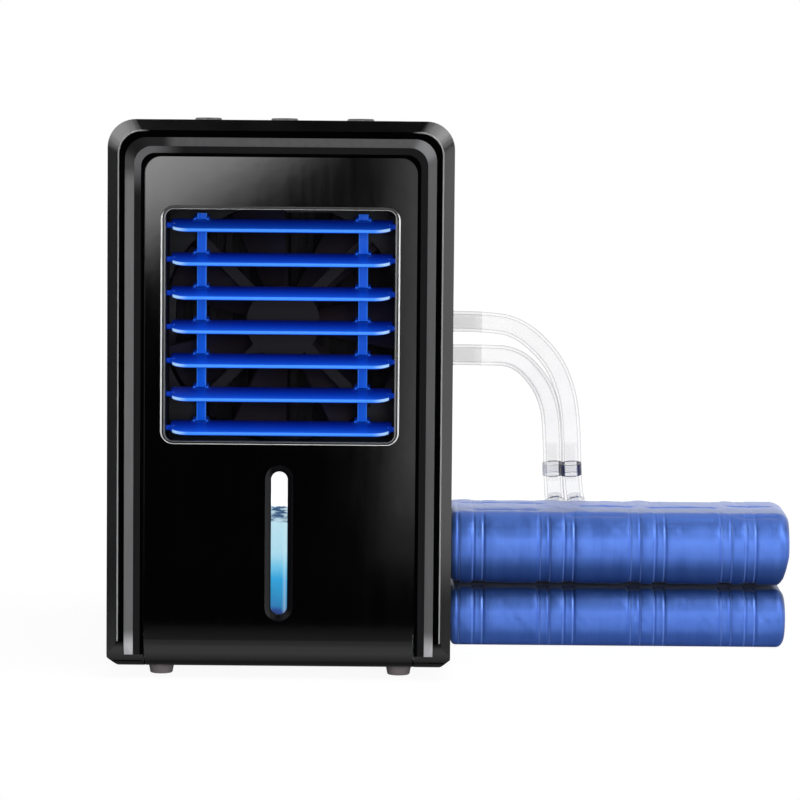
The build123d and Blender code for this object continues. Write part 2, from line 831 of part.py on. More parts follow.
def make_pump_body():
    motor, volute, cover, _ = pump_stations()
    z = pump_axis_z()
    half = pump_motor_width / 2
    low = z - pump_motor_height / 2
    body = block(pump_x - half, pump_x + half, motor, volute + 1, low, low + pump_motor_height)
    body = fillet(body.edges().filter_by(Axis.Y), 4.0)
    body += rod_y(pump_x, z, volute, cover, pump_radius)
    body += rod_z(pump_x, fitting_y, z, pump_outlet_top, pump_outlet_radius)
    body += rod_z(pump_x, fitting_y, pump_outlet_top - 1, pump_outlet_top + inner_barb_length,
                  inner_barb_radius)
    body -= rod_y(pump_x, z, cover - pump_chamber_depth, cover + 1, pump_chamber_radius)
    body -= rod_z(pump_x, fitting_y, z, pump_outlet_top + inner_barb_length + 1, 1.8)
    return body - rod_y(pump_x, z, volute - 6, cover, impeller_shaft_radius + shaft_clearance)


def make_pump_cover():
    _, _, cover, back = pump_stations()
    z = pump_axis_z()
    plate = rod_y(pump_x, z, cover, back, pump_radius)
    for x in (-3.6, 0, 3.6):
        reach = sqrt(pump_inlet_radius ** 2 - x ** 2) if abs(x) < pump_inlet_radius else 0
        plate -= block(pump_x + x - 1.1, pump_x + x + 1.1, cover - 1, back + 1, z - reach, z + reach)
    return plate


def make_pump_feet():
    motor, volute, cover, _ = pump_stations()
    feet = []
    for x in (-pump_foot_offset, pump_foot_offset):
        for y in (motor + pump_foot_front, cover - pump_foot_back):
            under = pump_axis_z() - pump_motor_height / 2
            if y > volute:
                under = pump_axis_z() - sqrt(pump_radius ** 2 - (abs(x) + pump_foot_radius) ** 2)
            foot = cone_z(pump_x + x, y, tank_floor, tank_floor + pump_foot_height - 0.4,
                          pump_foot_radius, pump_foot_radius - 1)
            foot += rod_z(pump_x + x, y, tank_floor + 1, under, 2.0)
            feet.append(foot - rod_y(pump_x, pump_axis_z(), volute, cover, pump_radius + 0.05))
    return feet


def make_pump_impeller():
    motor, volute, cover, _ = pump_stations()
    z = pump_axis_z()
    front = cover - pump_chamber_depth + 1.5
    hub = rod_y(0, 0, front, front + impeller_length, impeller_hub_radius)
    hub += rod_y(0, 0, front, front + 1.2, impeller_radius)
    hub += rod_y(0, 0, volute - 5, front + 1, impeller_shaft_radius)
    for turn in range(impeller_vanes):
        vane = block(impeller_hub_radius - 1, impeller_radius - 0.1, front, front + impeller_length,
                     -impeller_vane / 2, impeller_vane / 2)
        hub += Rot(0, 360 * turn / impeller_vanes, 0) * vane
    return Pos(pump_x, 0, z) * hub


# Bulkhead fittings: seal outside, nut inside, a barb each way
def fitting_outside(z):
    seal_face = shell_side + seal_thickness
    barb_root = seal_face + fitting_flange
    body = rod_x(fitting_y, z, seal_face, barb_root, fitting_flange_radius)
    body = fillet(body.edges().group_by(Axis.X)[-1], 0.6)
    body += rod_x(fitting_y, z, barb_root - 1, barb_root + barb_length, barb_radius)
    return body


def elbow_x():
    return shell_inside - elbow_x_inset


def make_return_fitting():
    z = return_fitting_z
    x = elbow_x()
    body = fitting_outside(z) + rod_x(fitting_y, z, x, shell_side + 2, shank_radius)
    body += Pos(x, fitting_y, z) * Sphere(shank_radius + 0.3)
    body += rod_z(x, fitting_y, z, z + elbow_rise, shank_radius + 0.1)
    body += rod_z(x, fitting_y, z + elbow_rise - 1, z + elbow_rise + inner_barb_length, inner_barb_radius)
    body -= rod_x(fitting_y, z, x, width, fitting_bore_radius)
    return body - rod_z(x, fitting_y, z, z + elbow_rise + inner_barb_length + 1, 1.8)


def supply_inner_root():
    return shell_inside - 12.0


def make_supply_fitting():
    z = supply_fitting_z
    root = supply_inner_root()
    body = fitting_outside(z) + rod_x(fitting_y, z, root, shell_side + 2, shank_radius)
    body += rod_x(fitting_y, z, root - inner_barb_length, root + 1, inner_barb_radius)
    body -= rod_x(fitting_y, z, root, width, fitting_bore_radius)
    return body - rod_x(fitting_y, z, root - inner_barb_length - 1, root + 1, 1.8)


def make_fitting_nuts():
    nuts = []
    for z in (return_fitting_z, supply_fitting_z):
        plane = Plane((shell_inside - nut_thickness, fitting_y, z), x_dir=(0, 1, 0), z_dir=(1, 0, 0))
        nut = extrude(plane * RegularPolygon(nut_across_flats / 2, 6, major_radius=False),
                      amount=nut_thickness)
        nuts.append(nut - rod_x(fitting_y, z, shell_inside - nut_thickness - 1, shell_inside + 1,
                                shank_radius + nut_clearance))
    return nuts


def make_fitting_seals():
    seals = []
    for z in (return_fitting_z, supply_fitting_z):
        ring = rod_x(fitting_y, z, shell_side, shell_side + seal_thickness, seal_radius)
        seals.append(ring - rod_x(fitting_y, z, shell_side - 1, shell_side + 3,
                                  shank_radius + nut_clearance))
    return seals


# Tubes of straight runs and tangent arcs
def corner_radii(points):
    radii = []
    for before, corner, after in zip(points, points[1:], points[2:]):
        run_in = Vector(*corner) - Vector(*before)
        run_out = Vector(*after) - Vector(*corner)
        half_turn = radians(run_in.get_angle(run_out) / 2)
        radii.append(0.45 * min(run_in.length, run_out.length) / tan(half_turn))
    return radii


def tube(points, radii, outer, inner):
    path = FilletPolyline(*points, radius=radii)
    start = Plane(origin=path @ 0, z_dir=path % 0)
    solid = sweep(start * Circle(outer / 2), path=path)
    solid -= sweep(start * Circle(inner / 2), path=path)
    expected = pi / 4 * (outer ** 2 - inner ** 2) * path.length
    print(f"tube of {path.length:.1f} mm: volume {solid.volume:.0f}, section by length {expected:.0f}, "
          f"radii {[round(radius, 1) for radius in radii]}")
    return solid


def straight_tube(start, end, outer, inner):
    plane = Plane(origin=start, z_dir=Vector(*end) - Vector(*start))
    length = (Vector(*end) - Vector(*start)).length
    section = Circle(outer / 2) - Circle(inner / 2) if inner else Circle(outer / 2)
    return extrude(plane * section, amount=length)


def lean_axis(lean):
    """Unit vector up a line that leans this much to the right and back for 1 of drop."""
    return Vector(-lean[0], -lean[1], 1).normalized()


def along(end, distance, lean=hose_lean):
    """Point on the line up from end, at this distance."""
    point = Vector(*end) + lean_axis(lean) * distance
    return (point.X, point.Y, point.Z)


def hose_route(z, bends, end):
    exit_x = shell_side + seal_thickness + fitting_flange
    start = (exit_x, fitting_y, z)
    lead = (exit_x + hose_lead, fitting_y, z)
    return [start, lead, *bends, along(end, last_run), end]


def make_hose(z, bends, end):
    points = hose_route(z, bends, end)
    return tube(points, corner_radii(points), hose_od, hose_id)


def make_joiner(end):
    """Collar between hose and tail, with a barb up into one and down into the other."""
    collar = straight_tube(along(end, -collar_length), end, collar_od, 2 * fitting_bore_radius)
    barb = straight_tube(along(end, -collar_length - port_barb), along(end, collar_barb),
                         2 * barb_radius, 2 * fitting_bore_radius)
    return collar + barb


def tail_points(end, lean):
    """Start, corner and foot of the short tail between joiner and pad port."""
    corner = along(end, -collar_length - tail_turn)
    return [along(end, -collar_length), corner, along(corner, tail_turn - tail_length, lean)]


def make_tail(end, lean):
    points = tail_points(end, lean)
    return tube(points, corner_radii(points), hose_od, hose_id)


def port_stub(end, lean, bore):
    """The port's stub, from inside the pad up to the tail."""
    foot = tail_points(end, lean)[-1]
    return straight_tube(along(foot, -port_length, lean), foot, 2 * port_radius, bore)


def make_port(end, lean):
    """Welded stub on the pad, ending in a short barb in the tail."""
    foot = tail_points(end, lean)[-1]
    barb = straight_tube(along(foot, -1, lean), along(foot, port_barb, lean), 2 * barb_radius,
                         2 * fitting_bore_radius)
    return port_stub(end, lean, 2 * fitting_bore_radius) + barb


# Hoses held inside the casing
def make_supply_inner_hose():
    root = (supply_inner_root(), fitting_y, supply_fitting_z)
    points = [(pump_x, fitting_y, pump_outlet_top), (pump_x, fitting_y, supply_fitting_z), root]
    return tube(points, [inner_bend_radius], inner_hose_od, inner_hose_id)


def tray_inlet_z():
    return tray_top - tray_inlet_drop


def make_return_inner_hose():
    x = elbow_x()
    points = [(x, fitting_y, return_fitting_z + elbow_rise), (x, fitting_y, tray_inlet_z()),
              (tray_half_width + 2, fitting_y, tray_inlet_z())]
    return tube(points, [inner_bend_radius - 2], inner_hose_od, inner_hose_id)


# Water tray above the filter, filled through the lid and by the return hose
def make_drip_tray():
    tray = plate_z(tray_half_width, tray_front, tray_back, 3, tray_bottom, tray_top)
    tray -= plate_z(tray_half_width - tray_wall, tray_front + tray_wall, tray_back - tray_wall, 2,
                    tray_bottom + tray_wall, tray_top + 1)
    for index in range(tray_hole_count):
        x = (index - (tray_hole_count - 1) / 2) * tray_hole_pitch
        tray -= rod_z(x, filter_front + filter_depth / 2 + 2, tray_bottom - 1, tray_bottom + 3,
                      tray_hole_radius)
    z = tray_inlet_z()
    tray += rod_x(fitting_y, z, tray_half_width - 1, tray_half_width + 2, inner_hose_od / 2)
    barb_end = tray_half_width + 2 + tray_barb_length
    tray += rod_x(fitting_y, z, tray_half_width, barb_end, inner_barb_radius)
    return tray - rod_x(fitting_y, z, tray_half_width - 3, barb_end + 1, 1.8)


# Main shell: sides and top, with the fill rim and the rear screw bosses
def boss_points():
    x = shell_inside - cover_boss_inset
    return [(side * x, z) for side in (-1, 1)
            for z in (deck_top + cover_low_screw_above_deck, shell_ceiling - cover_high_screw_drop)]


def make_main_shell():
    outer_radius = top_corner_radius - shell_inset
    shell = arch(shell_inset, outer_radius, bottom, front_frame_depth, shell_back, bottom_chamfer)
    shell -= arch(shell_inset + shell_wall, outer_radius - shell_wall, bottom - 1,
                  front_frame_depth - 1, shell_back + 1)
    shell -= block(-width, width, 0, depth, bottom - 1, base_top)
    rim_half = fill_half_width + fill_rim
    rim = block(-rim_half, rim_half, fill_front - fill_rim, fill_back + fill_rim,
                shell_ceiling - fill_rim_drop, shell_ceiling + 1)
    shell += rim
    ledge_half = fill_half_width - fill_ledge
    ledge_back_y = lid_axis_y - lid_lug_radius - 3
    seat = shell_top - lid_thickness - 0.3
    shell -= block(-fill_half_width, fill_half_width, fill_front, fill_back, seat, shell_top + 1)
    under_rim = shell_ceiling - fill_rim_drop - 1
    shell -= block(-ledge_half, ledge_half, fill_front + fill_ledge, fill_back, under_rim, shell_top)
    shell -= block(-fill_half_width, fill_half_width, ledge_back_y, fill_back, under_rim, shell_top)
    shell -= rod_x(lid_axis_y, lid_axis_z, -rim_half - 1, rim_half + 1, lid_pin_radius + lid_pin_clearance)
    well_half = control_half_width - control_margin
    shell -= plate_z(well_half, control_front + control_margin, control_back - control_margin, 3,
                     shell_ceiling - 1, shell_top + 1)
    for z in (return_fitting_z, supply_fitting_z):
        shell -= rod_x(fitting_y, z, shell_inside - 1, shell_side + 1, shank_radius + shank_clearance)
    for x, z in boss_points():
        boss = rod_y(x, z, shell_back - cover_boss_length, shell_back, cover_boss_radius)
        web = block(min(x, x * 1.1), max(x, x * 1.1), shell_back - cover_boss_length, shell_back,
                    z - cover_boss_radius + 1, z + cover_boss_radius - 1)
        clip = arch(shell_inset + 0.5, outer_radius, bottom, 0, depth)
        shell += (boss + web) & clip
        shell -= rod_y(x, z, shell_back - cover_screw_length - 2, shell_back + 1,
                       cover_screw_radius + cover_screw_clearance)
    return shell


# Base plate: the chamfered floor of the casing
def make_base_plate():
    outline = arch(shell_inset, top_corner_radius, bottom, front_frame_depth, shell_back, bottom_chamfer)
    plate = outline & block(-width, width, 0, depth, bottom, base_top)
    for x, y in foot_points():
        plate -= rod_z(x, y, bottom - 1, base_top + 1, foot_stem_radius + foot_stem_clearance)
    return plate


def foot_points():
    return [(side * foot_spacing / 2, y) for side in (-1, 1) for y in (foot_front_y, foot_back_y)]


def make_rubber_feet():
    feet = []
    for x, y in foot_points():
        foot = cone_z(x, y, 0, bottom, foot_bottom_radius, foot_top_radius)
        foot = fillet(foot.edges().group_by(Axis.Z)[0], 0.6)
        feet.append(foot + rod_z(x, y, bottom - 1, base_top - 0.2, foot_stem_radius))
    return feet


# Rear cover with the air intake
def make_rear_cover():
    front = shell_back
    inset = shell_inset
    radius = top_corner_radius - shell_inset
    taper = rear_cover_wall
    cover = arch(inset, radius, bottom, front, depth - taper, bottom_chamfer)
    cover += arch_loft((inset, radius, bottom, depth - taper, bottom_chamfer),
                       (inset + taper, radius - taper, bottom + taper, depth, bottom_chamfer))
    cover -= arch(inset + shell_wall, radius - shell_wall, base_top, front - 1, depth - rear_cover_wall)
    for index in range(intake_slot_count):
        z = louvre_z + (index - (intake_slot_count - 1) / 2) * intake_slot_pitch
        plane = Plane((0, depth + 1, z), x_dir=(1, 0, 0), z_dir=(0, 1, 0))
        slot = plane * SlotOverall(intake_slot_length, intake_slot_width)
        cover -= extrude(slot, amount=rear_cover_wall + 3, dir=(0, -1, 0))
    inner = arch(inset + 0.5, radius, bottom, front, depth)
    for x, z in boss_points():
        cover += rod_y(x, z, front, depth - 1, cover_boss_radius) & inner
        head = cover_screw_head_radius + cover_screw_clearance
        cover -= rod_y(x, z, front + 2, depth + 1, head)
        cover -= rod_y(x, z, front - 1, front + 3, cover_screw_radius + cover_screw_clearance)
    return cover - rod_y(jack_x, jack_z, front, depth + 1, jack_radius + 0.2)


def make_cover_screws():
    screws = []
    seat = shell_back + 2
    for x, z in boss_points():
        screw = rod_y(x, z, seat - cover_screw_length, seat, cover_screw_radius)
        head = rod_y(x, z, seat, seat + cover_screw_head, cover_screw_head_radius)
        head -= block(x - 1.8, x + 1.8, seat + 1.2, seat + 3, z - 0.4, z + 0.4)
        head -= block(x - 0.4, x + 0.4, seat + 1.2, seat + 3, z - 1.8, z + 1.8)
        screws.append(screw + head)
    return screws


def make_power_jack():
    body = rod_y(jack_x, jack_z, depth - jack_length, depth, jack_radius)
    body += rod_y(jack_x, jack_z, depth, depth + jack_flange, jack_flange_radius)
    body -= rod_y(jack_x, jack_z, depth + jack_flange - jack_bore_depth, depth + jack_flange + 1,
                  jack_bore_radius)
    pin_start = depth + jack_flange - jack_bore_depth - 1
    return body + rod_y(jack_x, jack_z, pin_start, depth, jack_pin_radius)


# Control panel, buttons and the board beneath
def button_xs():
    return (-button_spacing, 0.0, button_spacing)


def post_points():
    x = control_half_width - control_margin - post_inset
    return [(side * x, y) for side in (-1, 1)
            for y in (control_front + post_inset + 1, control_back - post_inset - 1)]


def make_control_panel():
    margin = control_margin + control_clearance
    panel = plate_z(control_half_width, control_front, control_back, control_corner_radius,
                    shell_top, shell_top + control_plate)
    panel = fillet(panel.edges().group_by(Axis.Z)[-1], 0.6)
    panel += plate_z(control_half_width - margin, control_front + margin, control_back - margin, 3,
                     shell_ceiling, shell_top)
    for x, y in post_points():
        panel += rod_z(x, y, board_top, shell_ceiling + 1, post_radius)
        panel -= rod_z(x, y, board_top - 1, board_top + board_screw_length + 1,
                       board_screw_radius + board_screw_clearance)
    for x in button_xs():
        panel -= rod_z(x, control_y, shell_ceiling - 1, shell_top + 3, button_radius + button_well_clearance)
        panel -= rod_z(x, control_y - indicator_offset, shell_ceiling - 1, shell_top + 3,
                       indicator_radius + indicator_clearance)
    return panel


def button_levels():
    """Top of the cap, underside of the flange and foot of the stem."""
    cap_top = shell_top + control_plate + button_proud
    flange_top = shell_ceiling - control_clearance
    stem_foot = board_top + switch_height + plunger_height + button_travel + 0.1
    return cap_top, flange_top, stem_foot


def make_button(x):
    cap_top, flange_top, stem_foot = button_levels()
    cap = rod_z(x, control_y, flange_top - 0.1, cap_top, button_radius)
    cap = fillet(cap.edges().group_by(Axis.Z)[-1], 0.8)
    dish_radius = 40.0
    cap -= Pos(x, control_y, cap_top + dish_radius - 0.35) * Sphere(dish_radius)
    cap += rod_z(x, control_y, flange_top - button_flange, flange_top, button_flange_radius)
    return cap + rod_z(x, control_y, stem_foot, flange_top, button_stem_radius)


def make_indicator_lens():
    lenses = []
    for x in button_xs():
        y = control_y - indicator_offset
        lens = rod_z(x, y, board_top + 1, shell_top + control_plate + 0.3, indicator_radius)
        lenses.append(fillet(lens.edges().group_by(Axis.Z)[-1], 0.4))
    return lenses


def make_control_board():
    half = control_half_width - board_margin
    board = plate_z(half, control_front + board_margin, control_back - board_margin, 2,
                    board_top - board_thickness, board_top)
    for x, y in post_points():
        board -= rod_z(x, y, board_top - board_thickness - 1, board_top + 1, board_screw_radius + 0.2)
    for x in button_xs():
        board += block(x - 1.2, x + 1.2, control_y - indicator_offset - 1, control_y - indicator_offset + 1,
                       board_top, board_top + 0.9)
    connector_y = control_y + connector_offset
    board += block(-connector_half_width, connector_half_width, connector_y, connector_y + connector_depth,
                   board_top, board_top + connector_height)
    return board


def make_tact_switches():
    switches = []
    half = switch_size / 2
    for x in button_xs():
        body = block(x - half, x + half, control_y - half, control_y + half,
                     board_top, board_top + switch_height)
        switches.append(body + rod_z(x, control_y, board_top + switch_height - 1,
                                     board_top + switch_height + plunger_height, plunger_radius))
    return switches


def make_board_screws():
    screws = []
    under = board_top - board_thickness
    for x, y in post_points():
        screw = rod_z(x, y, under - 1, under + board_screw_length, board_screw_radius)
        screw += rod_z(x, y, under - board_screw_head, under, board_screw_head_radius)
        screws.append(screw - block(x - 1.5, x + 1.5, y - 0.35, y + 0.35, under - 3, under - 1))
    return screws


# Fill lid with its two hinge pins
def make_fill_lid():
    half = fill_half_width - lid_gap
    back = lid_axis_y + lid_overhang
    low = shell_top - lid_thickness
    lid = block(-half, half, fill_front + lid_gap, back, low, shell_top)
    lid = fillet(lid.edges().filter_by(Axis.Z), 2.0)
    lid = fillet(lid.edges().group_by(Axis.Z)[-1], 0.5)
    for side in (-1, 1):
        outer = side * half
        inner = side * (half - lid_lug_width)
        low_x = min(outer, inner)
        high_x = max(outer, inner)
        lug = rod_x(lid_axis_y, lid_axis_z, low_x, high_x, lid_lug_radius)
        lug += block(low_x, high_x, lid_axis_y - lid_lug_radius, lid_axis_y + lid_overhang - 0.3,
                     lid_axis_z, shell_top - 1)
        pin_end = side * (fill_half_width + lid_pin_bite)
        lug += rod_x(lid_axis_y, lid_axis_z, min(inner, pin_end), max(inner, pin_end), lid_pin_radius)
        lid += lug
    return lid


# Folded pad: two thick folds, one on the other, joined at the back
def pad_wire(x, shrink, lift):
    """Section of the folded pad at x, drawn in by shrink all round and by lift at the floor."""
    front = pad_front + shrink
    back = pad_back - shrink
    high = pad_height - shrink
    low = lift
    seam_low = pad_lower_height - shrink
    seam_high = pad_lower_height + pad_seam_gap + shrink
    seam_end = pad_back - pad_fold_thickness
    lip = pad_front_round * 0.7
    bow = 1 / sqrt(2)
    low_mid = (low + seam_low) / 2
    high_mid = (seam_high + high) / 2
    points = {
        "floor_front": (front + pad_front_round, low),
        "floor_back": (back - pad_back_round, low),
        "back_low": (back, low + pad_back_round),
        "back_high": (back, high - pad_back_round),
        "top_back": (back - pad_back_round, high),
        "top_front": (front + pad_front_round, high),
        "upper_nose": (front, high_mid + 3),
        "upper_lip": (front + lip, seam_high),
        "seam_top": (seam_end, pad_lower_height + pad_seam_gap),
        "seam_bottom": (seam_end, pad_lower_height),
        "lower_lip": (front + lip, seam_low),
        "lower_nose": (front + 0.6, low_mid),
    }
    place = {name: (x, y, z) for name, (y, z) in points.items()}

    def line(first, second):
        return Edge.make_line(place[first], place[second])

    def arc(first, second, y, z):
        return Edge.make_three_point_arc(place[first], (x, y, z), place[second])

    def corner(first, second, centre_y, centre_z, reach_y, reach_z):
        return arc(first, second, centre_y + reach_y * bow, centre_z + reach_z * bow)

    crown_y = (front + pad_front_round + back - pad_back_round) / 2
    return Wire([
        line("floor_front", "floor_back"),
        corner("floor_back", "back_low", back - pad_back_round, low + pad_back_round,
               pad_back_round, -pad_back_round),
        line("back_low", "back_high"),
        corner("back_high", "top_back", back - pad_back_round, high - pad_back_round,
               pad_back_round, pad_back_round),
        arc("top_back", "top_front", crown_y, high + pad_crown),
        corner("top_front", "upper_nose", front + pad_front_round, high_mid + 3,
               -pad_front_round, high - high_mid - 3),
        corner("upper_nose", "upper_lip", front + lip, high_mid + 3, -lip, seam_high - high_mid - 3),
        line("upper_lip", "seam_top"),
        line("seam_top", "seam_bottom"),
        line("seam_bottom", "lower_lip"),
        corner("lower_lip", "lower_nose", front + lip, low_mid, -lip + 0.6, seam_low - low_mid),
        corner("lower_nose", "floor_front", front + pad_front_round, low_mid, -pad_front_round + 0.6,
               low - low_mid),
    ])


def pad_stations():
    """Each section's x, how far it draws in all round, and how far its floor lifts."""
    stations = []
    end_steps = 5
    for step in range(end_steps + 1):
        angle = radians(90 * step / end_steps)
        reach = pad_end_round * (1 - cos(angle))
        draw = pad_end_round * (1 - sin(angle))
        stations.append((pad_left + reach, draw, draw))
        stations.append((pad_right - reach, draw, draw))
    for group in range(pad_groups):
        middle = pad_left + pad_group_first + group * pad_group_pitch
        for side in (-1, 1):
            weld = middle + side * pad_weld_offset
            for offset, drop in ((-pad_weld_half_width, 0.0), (-pad_weld_half_width / 2, pad_weld_depth),
                                 (pad_weld_half_width / 2, pad_weld_depth), (pad_weld_half_width, 0.0)):
                x = weld + offset
                if pad_left + pad_end_round < x < pad_right - pad_end_round:
                    stations.append((x, drop, 0.0))
    return sorted(stations)


def make_mattress_pad():
    pad = Part() + Solid.make_loft([pad_wire(*station) for station in pad_stations()], ruled=True)
    for end, lean in ((return_hose_end, return_tail_lean), (supply_hose_end, supply_tail_lean)):
        pad -= port_stub(end, lean, 0)
    return pad


# Every node by name
nodes = {
    "front_frame": make_front_frame(),
    "front_panel": make_front_panel(),
    "grille_trim": make_grille_trim(),
    "louvre_carrier": make_louvre_carrier(),
    "level_bezel": make_level_bezel(),
    "level_window": make_level_window(),
    "level_tube": make_level_tube(),
    "level_water": make_level_water(),
    "main_shell": make_main_shell(),
    "rear_cover": make_rear_cover(),
    "base_plate": make_base_plate(),
    "rubber_feet": make_rubber_feet(),
    "water_tank": make_water_tank(),
    "tank_deck": make_tank_deck(),
    "drip_tray": make_drip_tray(),
    "filter_frame": make_filter_frame(),
    "filter_core": make_filter_core(),
    "fan_housing": make_fan_housing(),
    "fan_stator": make_fan_stator(),
    "fan_rotor": make_fan_rotor(),
    "fan_screws": make_fan_screws(),
    "pump_body": make_pump_body(),
    "pump_cover": make_pump_cover(),
    "pump_feet": make_pump_feet(),
    "pump_impeller": make_pump_impeller(),
    "supply_fitting": make_supply_fitting(),
    "return_fitting": make_return_fitting(),
    "fitting_nuts": make_fitting_nuts(),
    "fitting_seals": make_fitting_seals(),
    "supply_inner_hose": make_supply_inner_hose(),
    "return_inner_hose": make_return_inner_hose(),
    "control_panel": make_control_panel(),
    "control_board": make_control_board(),
    "tact_switches": make_tact_switches(),
    "board_screws": make_board_screws(),
    "indicator_lens": make_indicator_lens(),
    "power_button": make_button(-button_spacing),
    "fan_button": make_button(0.0),
    "timer_button": make_button(button_spacing),
    "fill_lid": make_fill_lid(),
    "power_jack": make_power_jack(),
    "cover_screws": make_cover_screws(),
    "link_bar_left": make_link_bar(-1),
    "link_bar_right": make_link_bar(1),
    "mattress_pad": make_mattress_pad(),
    "pad_ports": [make_port(return_hose_end, return_tail_lean),
                  make_port(supply_hose_end, supply_tail_lean)],
    "return_hose": make_hose(return_fitting_z, return_hose_bends, return_hose_end),
    "supply_hose": make_hose(supply_fitting_z, supply_hose_bends, supply_hose_end),
    "return_joiner": make_joiner(return_hose_end),
    "supply_joiner": make_joiner(supply_hose_end),
    "return_tail": make_tail(return_hose_end, return_tail_lean),
    "supply_tail": make_tail(supply_hose_end, supply_tail_lean),
}
for number in range(slat_count):
    nodes[f"louvre_slat_{number + 1}"] = make_louvre_slat(number)

# The row origin: under the middle of the unit and pad together
origin_x = (pad_right - width / 2) / 2
origin_y = pad_back / 2

os.makedirs("parts", exist_ok=True)
for name, made in nodes.items():
    pieces = made if isinstance(made, list) else [made]
    solids = [solid for piece in pieces for solid in piece.solids()]
    placed = Pos(-origin_x, -origin_y, 0) * Compound(children=solids)
    export_step(placed, f"parts/{name}.step")
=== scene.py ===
import math

import bpy
import numpy as np
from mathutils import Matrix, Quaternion, Vector


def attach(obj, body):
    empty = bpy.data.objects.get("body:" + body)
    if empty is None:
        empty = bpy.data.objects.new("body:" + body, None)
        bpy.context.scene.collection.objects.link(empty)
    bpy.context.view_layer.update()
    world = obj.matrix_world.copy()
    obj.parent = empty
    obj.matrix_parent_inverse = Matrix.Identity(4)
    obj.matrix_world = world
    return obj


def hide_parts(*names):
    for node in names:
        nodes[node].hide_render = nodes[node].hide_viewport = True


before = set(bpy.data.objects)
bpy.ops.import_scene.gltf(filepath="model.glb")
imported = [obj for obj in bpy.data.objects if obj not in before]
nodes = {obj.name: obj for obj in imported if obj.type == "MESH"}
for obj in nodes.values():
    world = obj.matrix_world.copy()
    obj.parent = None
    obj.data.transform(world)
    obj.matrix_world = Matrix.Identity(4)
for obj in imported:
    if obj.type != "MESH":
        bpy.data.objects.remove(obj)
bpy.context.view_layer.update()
scene = bpy.context.scene

MM = 0.001
WHITE = (1, 1, 1, 1)
# The row's origin in the unit's own millimetres: x from the unit's middle, y from its front face
ORIGIN_X = 84.75
ORIGIN_Y = 103.0


def row_x(x):
    return (x - ORIGIN_X) * MM


def row_y(y):
    return (y - ORIGIN_Y) * MM


def at(x, y, z):
    """Row-frame metres from the unit's own millimetres."""
    return (row_x(x), row_y(y), z * MM)


def add_object(name, data):
    obj = bpy.data.objects.new(name, data)
    scene.collection.objects.link(obj)
    return obj


def add_mesh(name, points, faces):
    mesh = bpy.data.meshes.new(name)
    mesh.from_pydata([tuple(p) for p in points], [], [tuple(f) for f in faces])
    mesh.update()
    mesh.shade_smooth()
    return add_object(name, mesh)


def grid_faces(columns, rows, start):
    faces = []
    for row in range(rows - 1):
        for column in range(columns - 1):
            corner = start + row * columns + column
            faces.append((corner, corner + 1, corner + columns + 1, corner + columns))
    return faces


def ring_faces(low, high, sides, flip=False):
    """Quads between two closed rings of points, given where each ring starts."""
    faces = []
    for side in range(sides):
        after = (side + 1) % sides
        quad = (low + side, low + after, high + after, high + side)
        faces.append(quad[::-1] if flip else quad)
    return faces


def cap_faces(first, last, count):
    """Faces that close both ends, given where each end's ring starts."""
    return [tuple(range(first, first + count)), tuple(range(last, last + count))[::-1]]


# Camera
camera_data = bpy.data.cameras.new("camera")
camera = add_object("camera", camera_data)
camera.location = at(54.73, -1496.35, 235.81)
camera.rotation_euler = (math.radians(86.018), math.radians(-0.5), 0)
camera_data.sensor_width = 36
camera_data.lens = 146.1
camera_data.clip_start = 0.05
camera_data.clip_end = 40
scene.camera = camera


# Material building
class Graph:
    """The node tree of a material or world, and short ways to fill it."""

    def __init__(self, owner):
        owner.use_nodes = True
        self.tree = owner.node_tree
        self.tree.nodes.clear()
        self.coords = self.add("ShaderNodeTexCoord")
        self.place = self.coords.outputs["Object"]

    def add(self, kind, *inputs, **settings):
        """A node with these settings, whose first inputs are these sockets or values."""
        node = self.tree.nodes.new(kind)
        for key, value in settings.items():
            setattr(node, key, value)
        for index, value in enumerate(inputs):
            self.put(node, index, value)
        return node

    def put(self, node, index, value):
        if isinstance(value, bpy.types.NodeSocket):
            self.tree.links.new(value, node.inputs[index])
        else:
            node.inputs[index].default_value = value

    def math(self, operation, *values):
        return self.add("ShaderNodeMath", *values, operation=operation).outputs[0]

    def times(self, first, *others):
        for other in others:
            first = self.math("MULTIPLY", first, other)
        return first

    def plus(self, first, second):
        return self.math("ADD", first, second)

    def minus(self, first, second):
        return self.math("SUBTRACT", first, second)

    def scaled(self, value, factor, base):
        """value * factor + base"""
        return self.math("MULTIPLY_ADD", value, factor, base)

    def size(self, value):
        return self.math("ABSOLUTE", value)

    def larger(self, first, second):
        return self.math("MAXIMUM", first, second)

    def smaller(self, first, second):
        return self.math("MINIMUM", first, second)

    def above(self, value, limit):
        return self.math("GREATER_THAN", value, limit)

    def below(self, value, limit):
        return self.math("LESS_THAN", value, limit)

    def near(self, value, middle, reach):
        return self.math("COMPARE", value, middle, reach)

    def split(self, vector=None):
        return self.add("ShaderNodeSeparateXYZ", vector or self.place).outputs

    def remap(self, value, low, high, to_low=0.0, to_high=1.0, kind="LINEAR"):
        node = self.add("ShaderNodeMapRange", value, low, high, to_low, to_high,
                        interpolation_type=kind)
        return node.outputs[0]

    def ease(self, *values):
        """The same with soft ends."""
        return self.remap(*values, kind="SMOOTHSTEP")

    def choose(self, amount, first, second):
        """A number between two others."""
        node = self.add("ShaderNodeMix", amount, data_type="FLOAT")
        self.put(node, 2, first)
        self.put(node, 3, second)
        return node.outputs[0]

    def ramp(self, value, stops):
        node = self.add("ShaderNodeValToRGB", value)
        elements = node.color_ramp.elements
        while len(elements) < len(stops):
            elements.new(0.5)
        for element, (position, color) in zip(elements, stops):
            element.position = position
            element.color = (*color, 1)
        return node.outputs[0]


